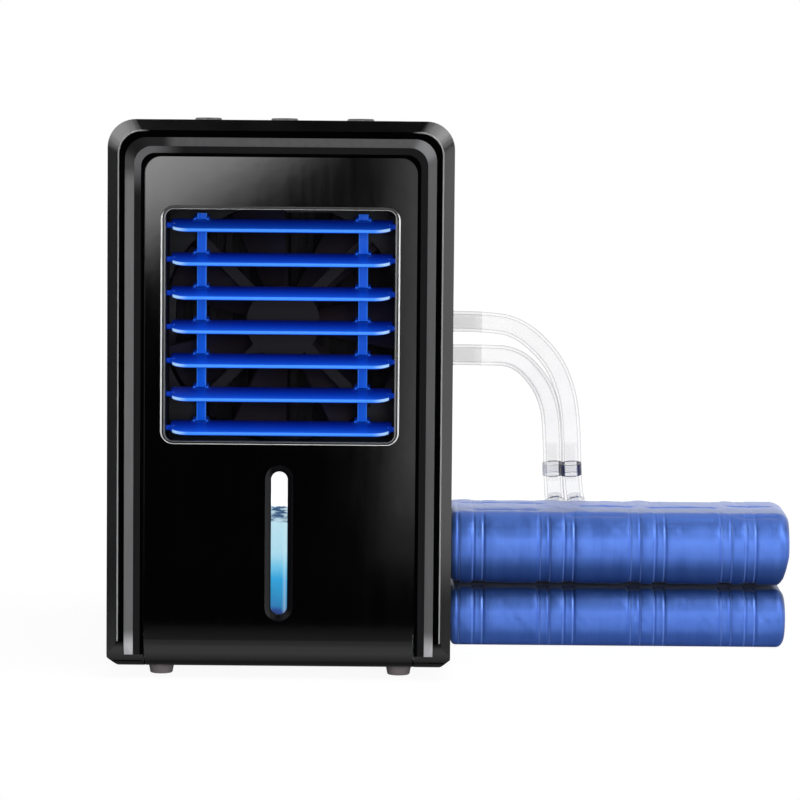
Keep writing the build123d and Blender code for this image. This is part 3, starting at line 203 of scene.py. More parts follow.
class Shade(Graph):
    """One Principled material and the nodes that feed it.

    The color and roughness are plain stand-ins for where those nodes aren't read.
    """

    def __init__(self, name, color, roughness, **sockets):
        self.material = bpy.data.materials.new(name)
        super().__init__(self.material)
        self.shader = self.add("ShaderNodeBsdfPrincipled")
        self.add("ShaderNodeOutputMaterial", self.shader.outputs[0])
        self.feed("Base Color", (*color, 1))
        self.feed("Roughness", roughness)
        for socket, value in sockets.items():
            self.feed(socket.replace("_", " "), value)

    def feed(self, socket, value):
        self.put(self.shader, socket, value)

    def tint(self, amount, first, second):
        self.feed("Base Color", self.mix(amount, first, second))

    def roughen(self, value, spread, base):
        self.feed("Roughness", self.scaled(value, spread, base))

    def facing(self):
        """Object-space normal, split."""
        return self.split(self.coords.outputs["Normal"])

    def edge_on(self):
        """0 where the surface faces the eye, 1 where it's seen edge-on."""
        return self.add("ShaderNodeLayerWeight", 0.5).outputs["Facing"]

    def off_middle(self):
        """Distance from the unit's middle plane."""
        return self.size(self.plus(self.split()[0], ORIGIN_X * MM))

    def noise(self, scale, detail=3.0, rough=0.5, squeeze=None):
        """Noise in the row's place, squeezed along each axis by a factor."""
        place = self.place
        if squeeze:
            mapping = self.add("ShaderNodeMapping", place)
            self.put(mapping, "Scale", squeeze)
            place = mapping.outputs[0]
        node = self.add("ShaderNodeTexNoise", place)
        self.put(node, "Scale", scale)
        self.put(node, "Detail", detail)
        self.put(node, "Roughness", rough)
        return node.outputs[0]

    def mix(self, amount, first, second, blend="MIX"):
        node = self.add("ShaderNodeMix", amount, data_type="RGBA", blend_type=blend)
        for index, value in ((6, first), (7, second)):
            self.put(node, index, (*value, 1) if isinstance(value, tuple) else value)
        return node.outputs[2]

    def bump(self, height, strength, depth, base=None):
        """Bump of this depth in millimetres, over another one where a base is given."""
        node = self.add("ShaderNodeBump")
        self.put(node, "Strength", strength)
        self.put(node, "Distance", depth * MM)
        self.put(node, "Height", height)
        if base is not None:
            self.put(node, "Normal", base)
        self.feed("Normal", node.outputs[0])
        return node.outputs[0]

    def arch(self, half_width, top, radius):
        """How far a point stands outside an arch with rounded upper corners, in metres."""
        rise = self.minus(self.split()[2], (top - radius) * MM)
        return self.outline(half_width, rise, radius)

    def window(self, half_width, half_height, middle, radius):
        """The same for a rounded rectangle whose centre is at this height."""
        rise = self.size(self.minus(self.split()[2], middle * MM))
        rise = self.minus(rise, (half_height - radius) * MM)
        return self.outline(half_width, rise, radius)

    def outline(self, half_width, rise, radius):
        """The distance for both, from the rise above the corner's centre."""
        side = self.minus(self.off_middle(), (half_width - radius) * MM)
        side_out = self.larger(side, 0.0)
        rise_out = self.larger(rise, 0.0)
        squares = self.plus(self.times(side_out, side_out), self.times(rise_out, rise_out))
        inside = self.smaller(self.larger(side, rise), 0.0)
        return self.minus(self.plus(self.math("SQRT", squares), inside), radius * MM)


def dress(shade, *names):
    """Puts a material on CAD nodes."""
    for name in names:
        for slot in nodes[name].material_slots:
            slot.material = shade.material


def plastic(names, label, color, roughness, grain, depth, blotch, **sockets):
    """Dresses nodes in moulded plastic: surface grain, blotched colour and uneven roughness."""
    shade = Shade(label, color, roughness, **sockets)
    patches = shade.noise(38.0, 4.0)
    dark = tuple(c * (1 - blotch) for c in color)
    light = tuple(min(1.0, c * (1 + blotch)) for c in color)
    shade.tint(patches, dark, light)
    fine = shade.noise(grain, 2.0)
    spread = shade.scaled(patches, 0.12, roughness - 0.06)
    shade.roughen(fine, 0.06, spread)
    shade.bump(fine, depth, 0.4)
    dress(shade, *names.split())


def paint(piece, shade, body):
    """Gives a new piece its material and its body."""
    piece.data.materials.clear()
    piece.data.materials.append(shade.material)
    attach(piece, body)


# Hose routes: the source's points, moved to follow the photograph's curves
HOSE_OD = 10.5
HOSE_ID = 7.5
HOSE_START_X = 82.0
FITTING_Y = 131.0
# The joiners lean right and back by this much for each millimetre that they drop.
JOINER_LEAN = (0.06, 0.15)
COLLAR = 6.0
TAIL = 14.0
TAIL_TURN = 7.0
RETURN_END = (144.7, 184.5, 86.7)
SUPPLY_END = (135.7, 192.0, 86.0)
RETURN_BENDS = [(98.3, 131.0, 162.4), (115.5, 139.4, 159.4), (133.0, 154.2, 143.3),
                (141.2, 167.1, 125.3), (144.2, 177.4, 105.5)]
SUPPLY_BENDS = [(96.6, 131.0, 145.6), (114.2, 143.1, 144.5), (127.2, 163.5, 131.0),
                (133.5, 178.6, 117.0), (135.3, 187.0, 101.9)]
# Side, height at the wall, bends, the hose's end over its joiner, and the tail's lean
HOSES = (
    ("return", 162.4, RETURN_BENDS, RETURN_END, (0.25, 0.2)),
    ("supply", 145.6, SUPPLY_BENDS, SUPPLY_END, (0.12, 0.25)),
)
# The hoses look greyer over the fittings' barbs: left of this x and above this height.
SLEEVE_END_X = 96.5
SLEEVE_LOW_Z = 130.0


def up_axis(lean):
    """Upward direction of a line that leans right and back as it drops."""
    return Vector((-lean[0], -lean[1], 1)).normalized()


def up_line(start, lean, distance):
    return tuple(Vector(start) + up_axis(lean) * distance)


def hose_route(start_z, bends, end, tail_lean):
    corner = up_line(end, JOINER_LEAN, -COLLAR - TAIL_TURN)
    foot = up_line(corner, tail_lean, TAIL_TURN - TAIL)
    points = [(HOSE_START_X, FITTING_Y, start_z), *bends, corner, foot]
    return [at(*point) for point in points]


def follow(points):
    """Points along the NURBS spline that has these control points."""
    curve = bpy.data.curves.new("route", "CURVE")
    curve.dimensions = "3D"
    curve.resolution_u = 20
    spline = curve.splines.new("NURBS")
    spline.points.add(len(points) - 1)
    for point, place in zip(spline.points, points):
        point.co = (*place, 1)
    spline.order_u = 3
    spline.use_endpoint_u = True
    holder = add_object("route", curve)
    bpy.context.view_layer.update()
    graph = bpy.context.evaluated_depsgraph_get()
    mesh = bpy.data.meshes.new_from_object(holder.evaluated_get(graph))
    path = np.array([vertex.co[:] for vertex in mesh.vertices])
    bpy.data.objects.remove(holder)
    bpy.data.curves.remove(curve)
    bpy.data.meshes.remove(mesh)
    return path


def tube_mesh(name, path, outer, inner, sides=40):
    """A tube with a real wall along a path, its two ends closed by rings."""
    tangents = np.gradient(path, axis=0)
    tangents /= np.linalg.norm(tangents, axis=1)[:, None]
    normal = np.cross(tangents[0], (0.0, 0.0, 1.0))
    normal /= np.linalg.norm(normal)
    points = []
    turns = np.linspace(0, 2 * math.pi, sides, endpoint=False)
    for place, tangent in zip(path, tangents):
        normal = normal - tangent * normal.dot(tangent)
        normal /= np.linalg.norm(normal)
        binormal = np.cross(tangent, normal)
        for radius in (outer, inner):
            for turn in turns:
                reach = math.cos(turn) * normal + math.sin(turn) * binormal
                points.append(place + radius * reach)
    faces = []
    last = len(path) - 1
    for row in range(last):
        for wall in (0, 1):
            low = (2 * row + wall) * sides
            faces += ring_faces(low, low + 2 * sides, sides, flip=not wall)
    for row in (0, last):
        low = 2 * row * sides
        faces += ring_faces(low, low + sides, sides, flip=row == last)
    return add_mesh(name, points, faces)


def make_hose_shade():
    """Clear vinyl that darkens towards its edges and over the barbs, with painted shade that
    darkens its upper right edges most.
    """
    shade = Shade("clear_hose", (0.8, 0.76, 0.79), 0.12, IOR=1.4)
    haze = shade.noise(60.0)
    clear = shade.mix(haze, (0.80, 0.75, 0.785), (0.68, 0.635, 0.67))
    x, _, z = shade.split()
    sleeve = shade.times(shade.below(x, row_x(SLEEVE_END_X)), shade.above(z, SLEEVE_LOW_Z * MM))
    clear = shade.mix(sleeve, clear, (0.52, 0.50, 0.52))
    rim = shade.ease(shade.edge_on(), 0.45, 0.93)
    color = shade.mix(rim, clear, (0.30, 0.28, 0.30))
    # Painted shade: a dark rim along the edges that face up and right.
    rightward, _, upward = shade.facing()
    outward = shade.ease(shade.plus(rightward, upward), 0.6, 1.1)
    shaded_brink = shade.times(outward, shade.ease(shade.edge_on(), 0.88, 0.97))
    shade.tint(shaded_brink, color, (0.10, 0.10, 0.11))
    wall = shade.scaled(rim, 0.36, 0.024)
    wall = shade.scaled(sleeve, 0.075, wall)
    wall = shade.scaled(shaded_brink, 0.3, wall)
    shade.feed("Alpha", shade.scaled(haze, 0.05, wall))
    shade.roughen(haze, 0.12, 0.06)
    shade.bump(shade.noise(140.0, 2.0), 0.05, 0.6)
    return shade


hose_shade = make_hose_shade()
for side, start_z, bends, end, tail_lean in HOSES:
    path = follow(hose_route(start_z, bends, end, tail_lean))
    hose = tube_mesh(f"{side}_hose_clear", path, HOSE_OD / 2 * MM, HOSE_ID / 2 * MM)
    paint(hose, hose_shade, "casing")
    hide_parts(f"{side}_hose", f"{side}_tail")


# Casing materials
# Outlines of the frame's edge, bevel and ledge: half width, top and corner radius
FRAME_EDGE = (75.0, 255.0, 11.0)
BEVEL_OUTER = (71.75, 251.75, 10.0)
BEVEL_INNER = (67.75, 247.75, 8.5)
LEDGE_INNER = (64.6, 244.6, 6.5)
# Groove between the trim's ridges: half width, half height, middle and corner radius
TRIM_GROOVE = (54.4, 54.4, 165.25, 5.4)
SLAT_END_X = 50.4
LINK_X = 37.9
BUTTON_Y = 45.0
BUTTON_STEP = 36.0


def make_frame_shade():
    """Black gloss frame with a bright outer edge line as a painted highlight and a satin grey inner
    bevel; painted light and shade on the bevel's corners and foot and on the ledge.
    """
    shade = Shade("frame_black", (0.006, 0.006, 0.007), 0.2)
    x, y, z = shade.split()
    rightward, forward, upward = shade.facing()
    flat = shade.size(forward)
    shade.feed("Specular IOR Level", shade.remap(flat, 0.93, 0.985, 0.5, 0.0))
    patches = shade.noise(30.0, 4.0)
    black = shade.mix(patches, (0.0006, 0.0006, 0.0008), (0.0018, 0.0018, 0.002))

    past_bevel = shade.arch(*BEVEL_INNER)
    bevel = shade.times(shade.below(shade.arch(*BEVEL_OUTER), 0.0),
                        shade.above(past_bevel, -0.02 * MM), shade.below(y, row_y(3.05)))
    streaks = shade.noise(60.0, squeeze=(6.0, 6.0, 0.6))
    grey = shade.mix(streaks, (0.105, 0.105, 0.108), (0.16, 0.16, 0.163))
    # Painted shade: the bevel darkens to black at its upper left corner.
    corner_shade = shade.times(shade.ease(x, row_x(-48), row_x(-55)),
                              shade.ease(z, 230 * MM, 239 * MM))
    grey = shade.mix(corner_shade, grey, (0.002, 0.002, 0.003))
    # Painted highlight: the bevel turns pale at its upper right corner.
    corner_highlight = shade.ease(shade.times(rightward, upward), 0.01, 0.15)
    grey = shade.mix(corner_highlight, grey, (0.42, 0.42, 0.43))
    # Painted reflection: the bevel turns pale near its foot.
    grey = shade.mix(shade.ease(z, 24 * MM, 15 * MM), grey, (0.62, 0.61, 0.63))
    color = shade.mix(bevel, black, grey)

    ledge = shade.times(shade.below(past_bevel, -0.02 * MM),
                        shade.above(shade.arch(*LEDGE_INNER), 0.0), shade.above(flat, 0.9))
    # Painted light: the ledge turns grey at its upper left.
    lit = shade.times(shade.ease(x, row_x(-44), row_x(-62)), shade.ease(z, 224 * MM, 241 * MM))
    ledge_color = shade.mix(lit, (0.017, 0.017, 0.018), (0.17, 0.17, 0.175))
    color = shade.mix(ledge, color, ledge_color)

    # Painted highlight: a bright line along the outer edge, on the sides and corners only.
    edge = shade.times(shade.near(shade.arch(*FRAME_EDGE), -0.22 * MM, 0.32 * MM),
                       shade.below(y, row_y(0.25)),
                       shade.ease(shade.off_middle(), 60 * MM, 66 * MM))
    shade.tint(edge, color, (0.40, 0.40, 0.41))
    smear = shade.scaled(patches, 0.12, 0.1)
    shade.roughen(bevel, 0.22, smear)
    shade.bump(shade.noise(500.0, 2.0), 0.015, 0.4)
    return shade


def make_panel_shade(name, roughness):
    """Piano-black face: smooth, with faint polishing marks and a little orange peel."""
    shade = Shade(name, (0.004, 0.004, 0.005), roughness)
    marks = shade.noise(220.0, 4.0, squeeze=(1.0, 1.0, 0.12))
    smears = shade.noise(24.0)
    spread = shade.scaled(smears, 0.06, roughness - 0.03)
    shade.roughen(marks, 0.05, spread)
    shade.tint(smears, (0.0001, 0.0001, 0.0002), (0.0006, 0.0006, 0.0007))
    shade.bump(shade.noise(120.0, 2.0), 0.012, 0.6)
    return shade


def make_trim_shade():
    """Two thin ridges with a black groove between; a painted reflection makes the outer one bright
    below its top.
    """
    shade = Shade("trim_ridges", (0.5, 0.5, 0.5), 0.25, Metallic=0.15)
    _, y, z = shade.split()
    outer = shade.above(shade.window(*TRIM_GROOVE), 0.0)
    # Painted reflection: the outer ridge is bright below its top and dark on it, the inner one
    # paler on top.
    upper = shade.ease(z, 215.5 * MM, 218.5 * MM)
    outer_color = shade.mix(upper, (0.92, 0.93, 0.94), (0.012, 0.012, 0.013))
    inner_color = shade.mix(upper, (0.13, 0.135, 0.14), (0.26, 0.26, 0.265))
    ridge = shade.mix(outer, inner_color, outer_color)
    ridge = shade.mix(shade.times(shade.noise(90.0), 0.2), ridge, (0.3, 0.3, 0.31))
    front = shade.below(y, row_y(1.55))
    shade.tint(front, (0.01, 0.01, 0.011), ridge)
    shade.roughen(shade.noise(300.0), 0.1, 0.2)
    return shade


def make_slat_shade():
    """Clear blue plastic that glows a little as painted light: painted shade deepens it at the
    rear, a painted highlight makes a bright rim in front and round the ends.
    """
    shade = Shade("louvre_blue_clear", (0.01, 0.1, 0.9), 0.16, IOR=1.45, Specular_IOR_Level=0.25)
    _, forward, upward = shade.facing()
    side = shade.off_middle()
    back = shade.remap(shade.split()[1], row_y(8.2), row_y(26.0))
    streak = shade.noise(60.0, squeeze=(0.35, 2.5, 1.0))
    depth = shade.plus(back, shade.scaled(streak, 0.12, -0.06))
    # Painted shade: the body darkens from the front edge towards the rear.
    body = shade.ramp(depth, [(0.0, (0.012, 0.12, 0.80)), (0.25, (0.004, 0.062, 0.62)),
                              (0.6, (0.002, 0.030, 0.42)), (0.85, (0.001, 0.012, 0.20)),
                              (1.0, (0.001, 0.006, 0.10))])
    # Painted highlight: a bright rim along the front, paler towards the ends.
    rim = shade.times(shade.ease(shade.size(upward), 0.82, 0.45),
                      shade.remap(back, 0.5, 0.7, 1.0, 0.0), shade.below(side, SLAT_END_X * MM))
    ends = shade.ease(side, 42.5 * MM, 49.5 * MM)
    color = shade.mix(rim, body, shade.mix(ends, (0.055, 0.26, 1.0), (0.42, 0.68, 1.0)))
    # Painted light: the ears' front faces are brighter.
    lit_ear = shade.times(shade.near(side, LINK_X * MM, 4.6 * MM), shade.above(back, 0.12),
                      shade.remap(shade.size(forward), 0.5, 0.75))
    color = shade.mix(lit_ear, color, (0.02, 0.17, 0.95))
    shade.feed("Base Color", color)
    # The slats glow a little as painted light, most along the painted rim.
    shade.feed("Emission Color", color)
    shade.feed("Emission Strength", shade.scaled(rim, 0.25, 0.3))
    shade.feed("Alpha", shade.remap(back, 0.35, 1.0, 1.0, 0.8))
    shade.roughen(streak, 0.14, 0.1)
    shade.bump(shade.noise(260.0, 2.0), 0.03, 0.3)
    return shade


def make_link_shade():
    """The same plastic in the link bars, glowing a little as painted light, with painted highlights
    along their edges.
    """
    # The bars glow a little as painted light.
    shade = Shade("link_blue_clear", (0.01, 0.12, 0.95), 0.2, IOR=1.45, Specular_IOR_Level=0.12,
                  Emission_Strength=0.3)
    off = shade.size(shade.minus(shade.off_middle(), LINK_X * MM))
    # Painted highlight: bright edges along each bar.
    rim = shade.ease(off, 1.5 * MM, 2.15 * MM)
    grain = shade.noise(80.0, squeeze=(2.0, 1.0, 0.4))
    body = shade.mix(grain, (0.001, 0.075, 0.58), (0.002, 0.13, 0.80))
    color = shade.mix(rim, body, (0.05, 0.26, 1.0))
    shade.feed("Base Color", color)
    shade.feed("Emission Color", color)
    shade.bump(shade.noise(200.0, 2.0), 0.03, 0.3)
    return shade


def make_bezel_shade():
    """Black recess whose left wall is painted paler than its right, as painted light."""
    shade = Shade("bezel_dark", (0.02, 0.02, 0.021), 0.32, Specular_IOR_Level=0.03)
    grain = shade.noise(300.0)
    # Painted light: the left wall is paler than the right.
    left = shade.ease(shade.split()[0], row_x(-5.0), row_x(-3.4), 1.0, 0.0)
    black = shade.mix(grain, (0.003, 0.003, 0.004), (0.006, 0.006, 0.007))
    shade.tint(left, black, (0.035, 0.035, 0.037))
    shade.roughen(grain, 0.1, 0.28)
    shade.bump(grain, 0.03, 0.3)
    return shade


def make_rotor_shade():
    """Smoky brown blades whose thin edges carry a pale painted highlight."""
    shade = Shade("rotor_smoked", (0.02, 0.016, 0.018), 0.34)
    patches = shade.noise(45.0, 4.0)
    brown = shade.mix(patches, (0.014, 0.011, 0.013), (0.034, 0.026, 0.030))
    # Painted highlight: the blades' thin edges are pale.
    edge = shade.ease(shade.size(shade.facing()[1]), 0.42, 0.30)
    shade.tint(edge, brown, (0.16, 0.15, 0.16))
    fine = shade.noise(500.0, 2.0)
    shade.roughen(fine, 0.1, 0.3)
    shade.bump(fine, 0.03, 0.4)
    return shade


def make_button_shade(icon, middle_x):
    """Satin key with a pale printed sign, drawn from the key's own middle."""
    shade = Shade(f"button_{icon}", (0.1, 0.1, 0.105), 0.4)
    x, y, _ = shade.split()
    across = shade.minus(x, row_x(middle_x))
    along = shade.minus(y, row_y(BUTTON_Y))
    reach = shade.math("SQRT", shade.plus(shade.times(across, across), shade.times(along, along)))
    turn = shade.math("ARCTAN2", across, along)
    upright = shade.below(shade.size(across), 0.28 * MM)
    if icon == "power":
        ring = shade.times(shade.near(reach, 2.6 * MM, 0.28 * MM),
                           shade.above(shade.size(turn), 0.6))
        bar = shade.times(upright, shade.near(along, 2.2 * MM, 1.5 * MM))
        sign = shade.larger(ring, bar)
    elif icon == "fan":
        sweep = shade.scaled(reach, 420.0, shade.times(turn, 3.0))
        sign = shade.times(shade.above(shade.math("SINE", sweep), 0.1),
                           shade.below(reach, 3.0 * MM), shade.above(reach, 0.8 * MM))
    else:
        ring = shade.near(reach, 2.7 * MM, 0.25 * MM)
        long_hand = shade.times(upright, shade.near(along, 0.9 * MM, 1.1 * MM))
        level = shade.below(shade.size(along), 0.25 * MM)
        short_hand = shade.times(level, shade.near(across, 0.7 * MM, 0.9 * MM))
        sign = shade.larger(ring, shade.larger(long_hand, short_hand))
    sign = shade.times(sign, shade.above(shade.facing()[2], 0.9))
    key = shade.mix(shade.noise(60.0, 4.0), (0.085, 0.085, 0.09), (0.115, 0.115, 0.12))
    shade.tint(sign, key, (0.62, 0.64, 0.66))
    fine = shade.noise(1200.0, 2.0)
    shade.roughen(fine, 0.12, 0.34)
    shade.bump(fine, 0.1, 0.4)
    return shade


def make_joiner_shade(name, end, left_tint, right_tint):
    """Clear barbs and a collar band, pale in the middle and by these tints navy at its edges."""
    shade = Shade(name, (0.6, 0.67, 0.86), 0.2, IOR=1.4)
    off = shade.add("ShaderNodeVectorMath", shade.place, at(*end), operation="SUBTRACT").outputs[0]
    across = shade.add("ShaderNodeVectorMath", off, up_axis(JOINER_LEAN),
                       operation="CROSS_PRODUCT").outputs[0]
    reach = shade.add("ShaderNodeVectorMath", across, operation="LENGTH").outputs["Value"]
    band = shade.above(reach, 4.4 * MM)
    tint = shade.remap(shade.split(off)[0], -2 * MM, 2 * MM, left_tint, right_tint)
    navy = shade.times(shade.ease(shade.edge_on(), 0.14, 0.25), tint)
    mottle = shade.noise(300.0, 2.0)
    pale = shade.mix(mottle, (0.60, 0.67, 0.86), (0.76, 0.80, 0.94))
    band_color = shade.mix(navy, pale, (0.010, 0.014, 0.075))
    shade.tint(band, (0.62, 0.6, 0.62), band_color)
    shade.feed("Alpha", shade.choose(band, 0.03, shade.scaled(navy, 0.80, 0.16)))
    shade.bump(mottle, 0.05, 0.3)
    return shade


def make_window_shade():
    """Clear lens with faint marks."""
    shade = Shade("window_clear", (0.85, 0.9, 0.92), 0.05, IOR=1.35)
    marks = shade.noise(120.0)
    shade.feed("Alpha", shade.scaled(marks, 0.02, 0.004))
    shade.roughen(marks, 0.1, 0.02)
    shade.bump(marks, 0.01, 0.3)
    return shade


dress(make_frame_shade(), "front_frame")
dress(make_panel_shade("panel_piano_black", 0.05), "front_panel", "control_panel")
dress(make_panel_shade("lid_black", 0.24), "fill_lid")
dress(make_trim_shade(), "grille_trim")
dress(make_slat_shade(), *[f"louvre_slat_{number}" for number in range(1, 8)])
dress(make_link_shade(), "link_bar_left", "link_bar_right")
dress(make_bezel_shade(), "level_bezel")
dress(make_rotor_shade(), "fan_rotor")
dress(make_joiner_shade("return_joiner_band", RETURN_END, 1.0, 1.0), "return_joiner")
dress(make_joiner_shade("supply_joiner_band", SUPPLY_END, 0.25, 1.0), "supply_joiner")
# The gauge's channel is clear like its lens, so it doesn't hide the light.
dress(make_window_shade(), "level_window", "level_tube")
for icon, middle_x in (("power", -BUTTON_STEP), ("fan", 0.0), ("timer", BUTTON_STEP)):
    dress(make_button_shade(icon, middle_x), f"{icon}_button")
# Nodes, material's name, colour, roughness, grain's fineness and strength, and blotches
plastic("main_shell rear_cover base_plate", "shell_satin_black",
        (0.012, 0.012, 0.013), 0.36, 1400.0, 0.12, 0.2)
plastic("louvre_carrier fan_screws power_jack", "inner_black",
        (0.008, 0.008, 0.009), 0.45, 700.0, 0.05, 0.2, Specular_IOR_Level=0.2)
plastic("fan_housing", "fan_dark",
        (0.012, 0.010, 0.011), 0.42, 500.0, 0.04, 0.2, Specular_IOR_Level=0.15)
plastic("water_tank tank_deck drip_tray", "tank_milky",
        (0.72, 0.76, 0.79), 0.45, 400.0, 0.05, 0.06)
plastic("filter_core", "filter_fibre", (0.020, 0.017, 0.019), 0.9, 1600.0, 0.6, 0.25)
plastic("filter_frame", "filter_frame_dark", (0.03, 0.028, 0.03), 0.5, 500.0, 0.05, 0.1)
plastic("pump_body pump_cover pump_impeller", "pump_black",
        (0.02, 0.02, 0.022), 0.4, 600.0, 0.05, 0.2)
plastic("supply_inner_hose return_inner_hose", "silicone",
        (0.72, 0.69, 0.67), 0.4, 300.0, 0.05, 0.05)
plastic("rubber_feet pump_feet fitting_seals", "foot_rubber",
        (0.27, 0.235, 0.25), 0.5, 600.0, 0.1, 0.14)
plastic("control_board", "board_green", (0.015, 0.11, 0.045), 0.35, 900.0, 0.1, 0.3)
plastic("tact_switches", "switch_black", (0.02, 0.02, 0.02), 0.4, 600.0, 0.05, 0.2)
plastic("fan_stator board_screws cover_screws", "screw_steel",
        (0.5, 0.5, 0.52), 0.3, 900.0, 0.1, 0.1, Metallic=1.0)
plastic("supply_fitting return_fitting fitting_nuts", "fitting_pale",
        (0.62, 0.59, 0.61), 0.25, 500.0, 0.05, 0.1, Alpha=0.015)
plastic("indicator_lens", "lens_clear",
        (0.82, 0.86, 0.88), 0.12, 400.0, 0.02, 0.04, Transmission_Weight=0.9)
plastic("pad_ports", "port_pale", (0.45, 0.5, 0.68), 0.3, 500.0, 0.05, 0.12, Alpha=0.14)


# Level gauge: a card glowing white behind as painted light, water with a swirling surface that
# glows as painted light
GLOW_SIDE = 5.0
GLOW_LOW = 29.2
GLOW_HIGH = 98.8
GLOW_Y = 17.1
WATER_FLOOR = 29.3
WATER_TOP = 80.0
WATER_SIDE = 5.1
WATER_FRONT = 7.6
WATER_BACK = 16.5
# Dark strokes under the surface: (x, z) points
RIPPLES = (
    [(-3.7, 80.5), (-2.0, 80.1), (0.0, 80.4), (2.0, 80.9), (3.7, 80.6)],
    [(-3.7, 79.2), (-2.4, 79.6), (-0.6, 79.3), (1.2, 78.8), (3.0, 79.1)],
    [(-2.2, 78.1), (-0.6, 77.8), (1.0, 78.1), (2.4, 78.2), (3.7, 77.8)],
    [(-3.6, 76.9), (-2.0, 76.6), (-0.2, 76.9), (1.4, 76.6), (2.2, 76.4)],
)
RIPPLE_Y = 7.35
RIPPLE_SIDES = 8


def make_glow_card():
    """Softly bowed white card on the tank's front wall, behind the water, that glows as painted
    light.
    """
    points = []
    for z in np.linspace(GLOW_LOW, GLOW_HIGH, 30):
        for x in np.linspace(-GLOW_SIDE, GLOW_SIDE, 9):
            points.append(at(x, GLOW_Y - 0.3 * (1 - (x / GLOW_SIDE) ** 2), z))
    return add_mesh("gauge_glow_card", points, grid_faces(9, 30, 0))


def make_glow_shade():
    # The card glows white as painted light.
    shade = Shade("gauge_glow", (0.9, 0.92, 0.94), 0.6, Emission_Color=WHITE,
                  Emission_Strength=0.95)
    soft = shade.noise(40.0, 2.0)
    shade.tint(soft, (0.86, 0.88, 0.9), (0.95, 0.96, 0.97))
    return shade


def water_height(x, y, share):
    """Height at this share of the way from the floor to the wavy surface."""
    depth = y - WATER_FRONT
    swell = 0.55 * math.sin(0.62 * x + 0.25 * depth + 0.6)
    surface = WATER_TOP + swell + 0.35 * math.sin(1.5 * x - 0.55 * depth)
    return WATER_FLOOR + share * (surface - WATER_FLOOR)


def make_water():
    """Water column with a wavy surface, closed all round."""
    across = np.linspace(-WATER_SIDE, WATER_SIDE, 21)
    deep = np.linspace(WATER_FRONT, WATER_BACK, 9)
    up = np.linspace(0, 1, 40)
    sheets = [
        ([(x, WATER_FRONT, share) for share in up for x in across], 21, False),
        ([(x, WATER_BACK, share) for share in up for x in across], 21, True),
        ([(x, y, 0.0) for y in deep for x in across], 21, True),
        ([(x, y, 1.0) for y in deep for x in across], 21, False),
        ([(-WATER_SIDE, y, share) for share in up for y in deep], 9, True),
        ([(WATER_SIDE, y, share) for share in up for y in deep], 9, False),
    ]
    points = []
    faces = []
    for sheet, columns, flip in sheets:
        quads = grid_faces(columns, len(sheet) // columns, len(points))
        faces += [quad[::-1] for quad in quads] if flip else quads
        points += [at(x, y, water_height(x, y, share)) for x, y, share in sheet]
    water = add_mesh("gauge_water", points, faces)
    weld = water.modifiers.new("weld", "WELD")
    weld.merge_threshold = 0.02 * MM
    return water


def make_water_shade():
    """Pale near the surface, cyan below, deep blue in the last millimetres, drifting a little; the
    water glows as painted light.
    """
    shade = Shade("gauge_water", (0.3, 0.6, 0.8), 0.08, IOR=1.33, Specular_IOR_Level=0.2,
                  Emission_Strength=0.95)
    x, _, z = shade.split()
    drift = shade.noise(70.0, squeeze=(1.6, 1.0, 0.8))
    share = shade.remap(shade.scaled(drift, 9.0 * MM, z), 34 * MM, 86 * MM)
    color = shade.ramp(share, [(0.0, (0.003, 0.010, 0.04)), (0.05, (0.004, 0.05, 0.26)),
                               (0.085, (0.004, 0.17, 0.42)), (0.2, (0.008, 0.25, 0.52)),
                               (0.33, (0.012, 0.33, 0.66)), (0.46, (0.15, 0.53, 0.77)),
                               (0.6, (0.39, 0.68, 0.81)), (1.0, (0.54, 0.75, 0.83))])
    # Dark swirls near the surface.
    swirl = shade.noise(210.0, 4.0, 0.6, squeeze=(0.8, 0.5, 2.4))
    swirl_color = shade.mix(shade.ease(swirl, 0.43, 0.56), (0.42, 0.58, 0.68), (0.02, 0.08, 0.19))
    near_top = shade.ease(shade.scaled(swirl, 5.0 * MM, z), 75.6 * MM, 77 * MM)
    color = shade.mix(shade.times(near_top, 0.9), color, swirl_color)
    # Painted glint: a pale streak down the column.
    off_glint = shade.size(shade.minus(x, row_x(2.6)))
    glint = shade.ease(off_glint, 0.0, 1.4 * MM, 1.0, 0.0)
    color = shade.mix(shade.times(glint, 0.25), color, (0.7, 0.88, 0.95))
    # The base is darkened, as the colour comes from the painted glow.
    shade.tint(0.8, color, (0.0, 0.0, 0.0))
    shade.feed("Emission Color", color)
    return shade


def make_ripples():
    """The strokes as thin rounded ribbons that taper to their ends."""
    points = []
    faces = []
    fine = np.linspace(0, 1, 40)
    for stroke in RIPPLES:
        knots = np.array(stroke)
        shares = np.linspace(0, 1, len(knots))
        line = np.stack([np.interp(fine, shares, knots[:, axis]) for axis in (0, 1)], 1)
        for _ in range(6):
            line[1:-1] = (line[:-2] + line[1:-1] + line[2:]) / 3
        start = len(points)
        for index, (x, z) in enumerate(line):
            share = index / (len(line) - 1)
            radius = 0.08 + 0.34 * math.sin(math.pi * share) ** 0.7
            for turn in range(RIPPLE_SIDES):
                angle = 2 * math.pi * turn / RIPPLE_SIDES
                points.append(at(x, RIPPLE_Y + 0.3 * radius * math.cos(angle),
                                 z + radius * math.sin(angle)))
        last = len(points) - RIPPLE_SIDES
        for low in range(start, last, RIPPLE_SIDES):
            faces += ring_faces(low, low + RIPPLE_SIDES, RIPPLE_SIDES)
        faces += cap_faces(start, last, RIPPLE_SIDES)
    return add_mesh("gauge_ripples", points, faces)


def make_ripple_shade():
    # The strokes glow a little as painted light.
    shade = Shade("ripple_blue", (0.03, 0.16, 0.36), 0.1, Emission_Color=(0.01, 0.06, 0.17, 1),
                  Emission_Strength=0.5)
    shade.tint(shade.noise(500.0), (0.003, 0.02, 0.08), (0.03, 0.12, 0.26))
    return shade


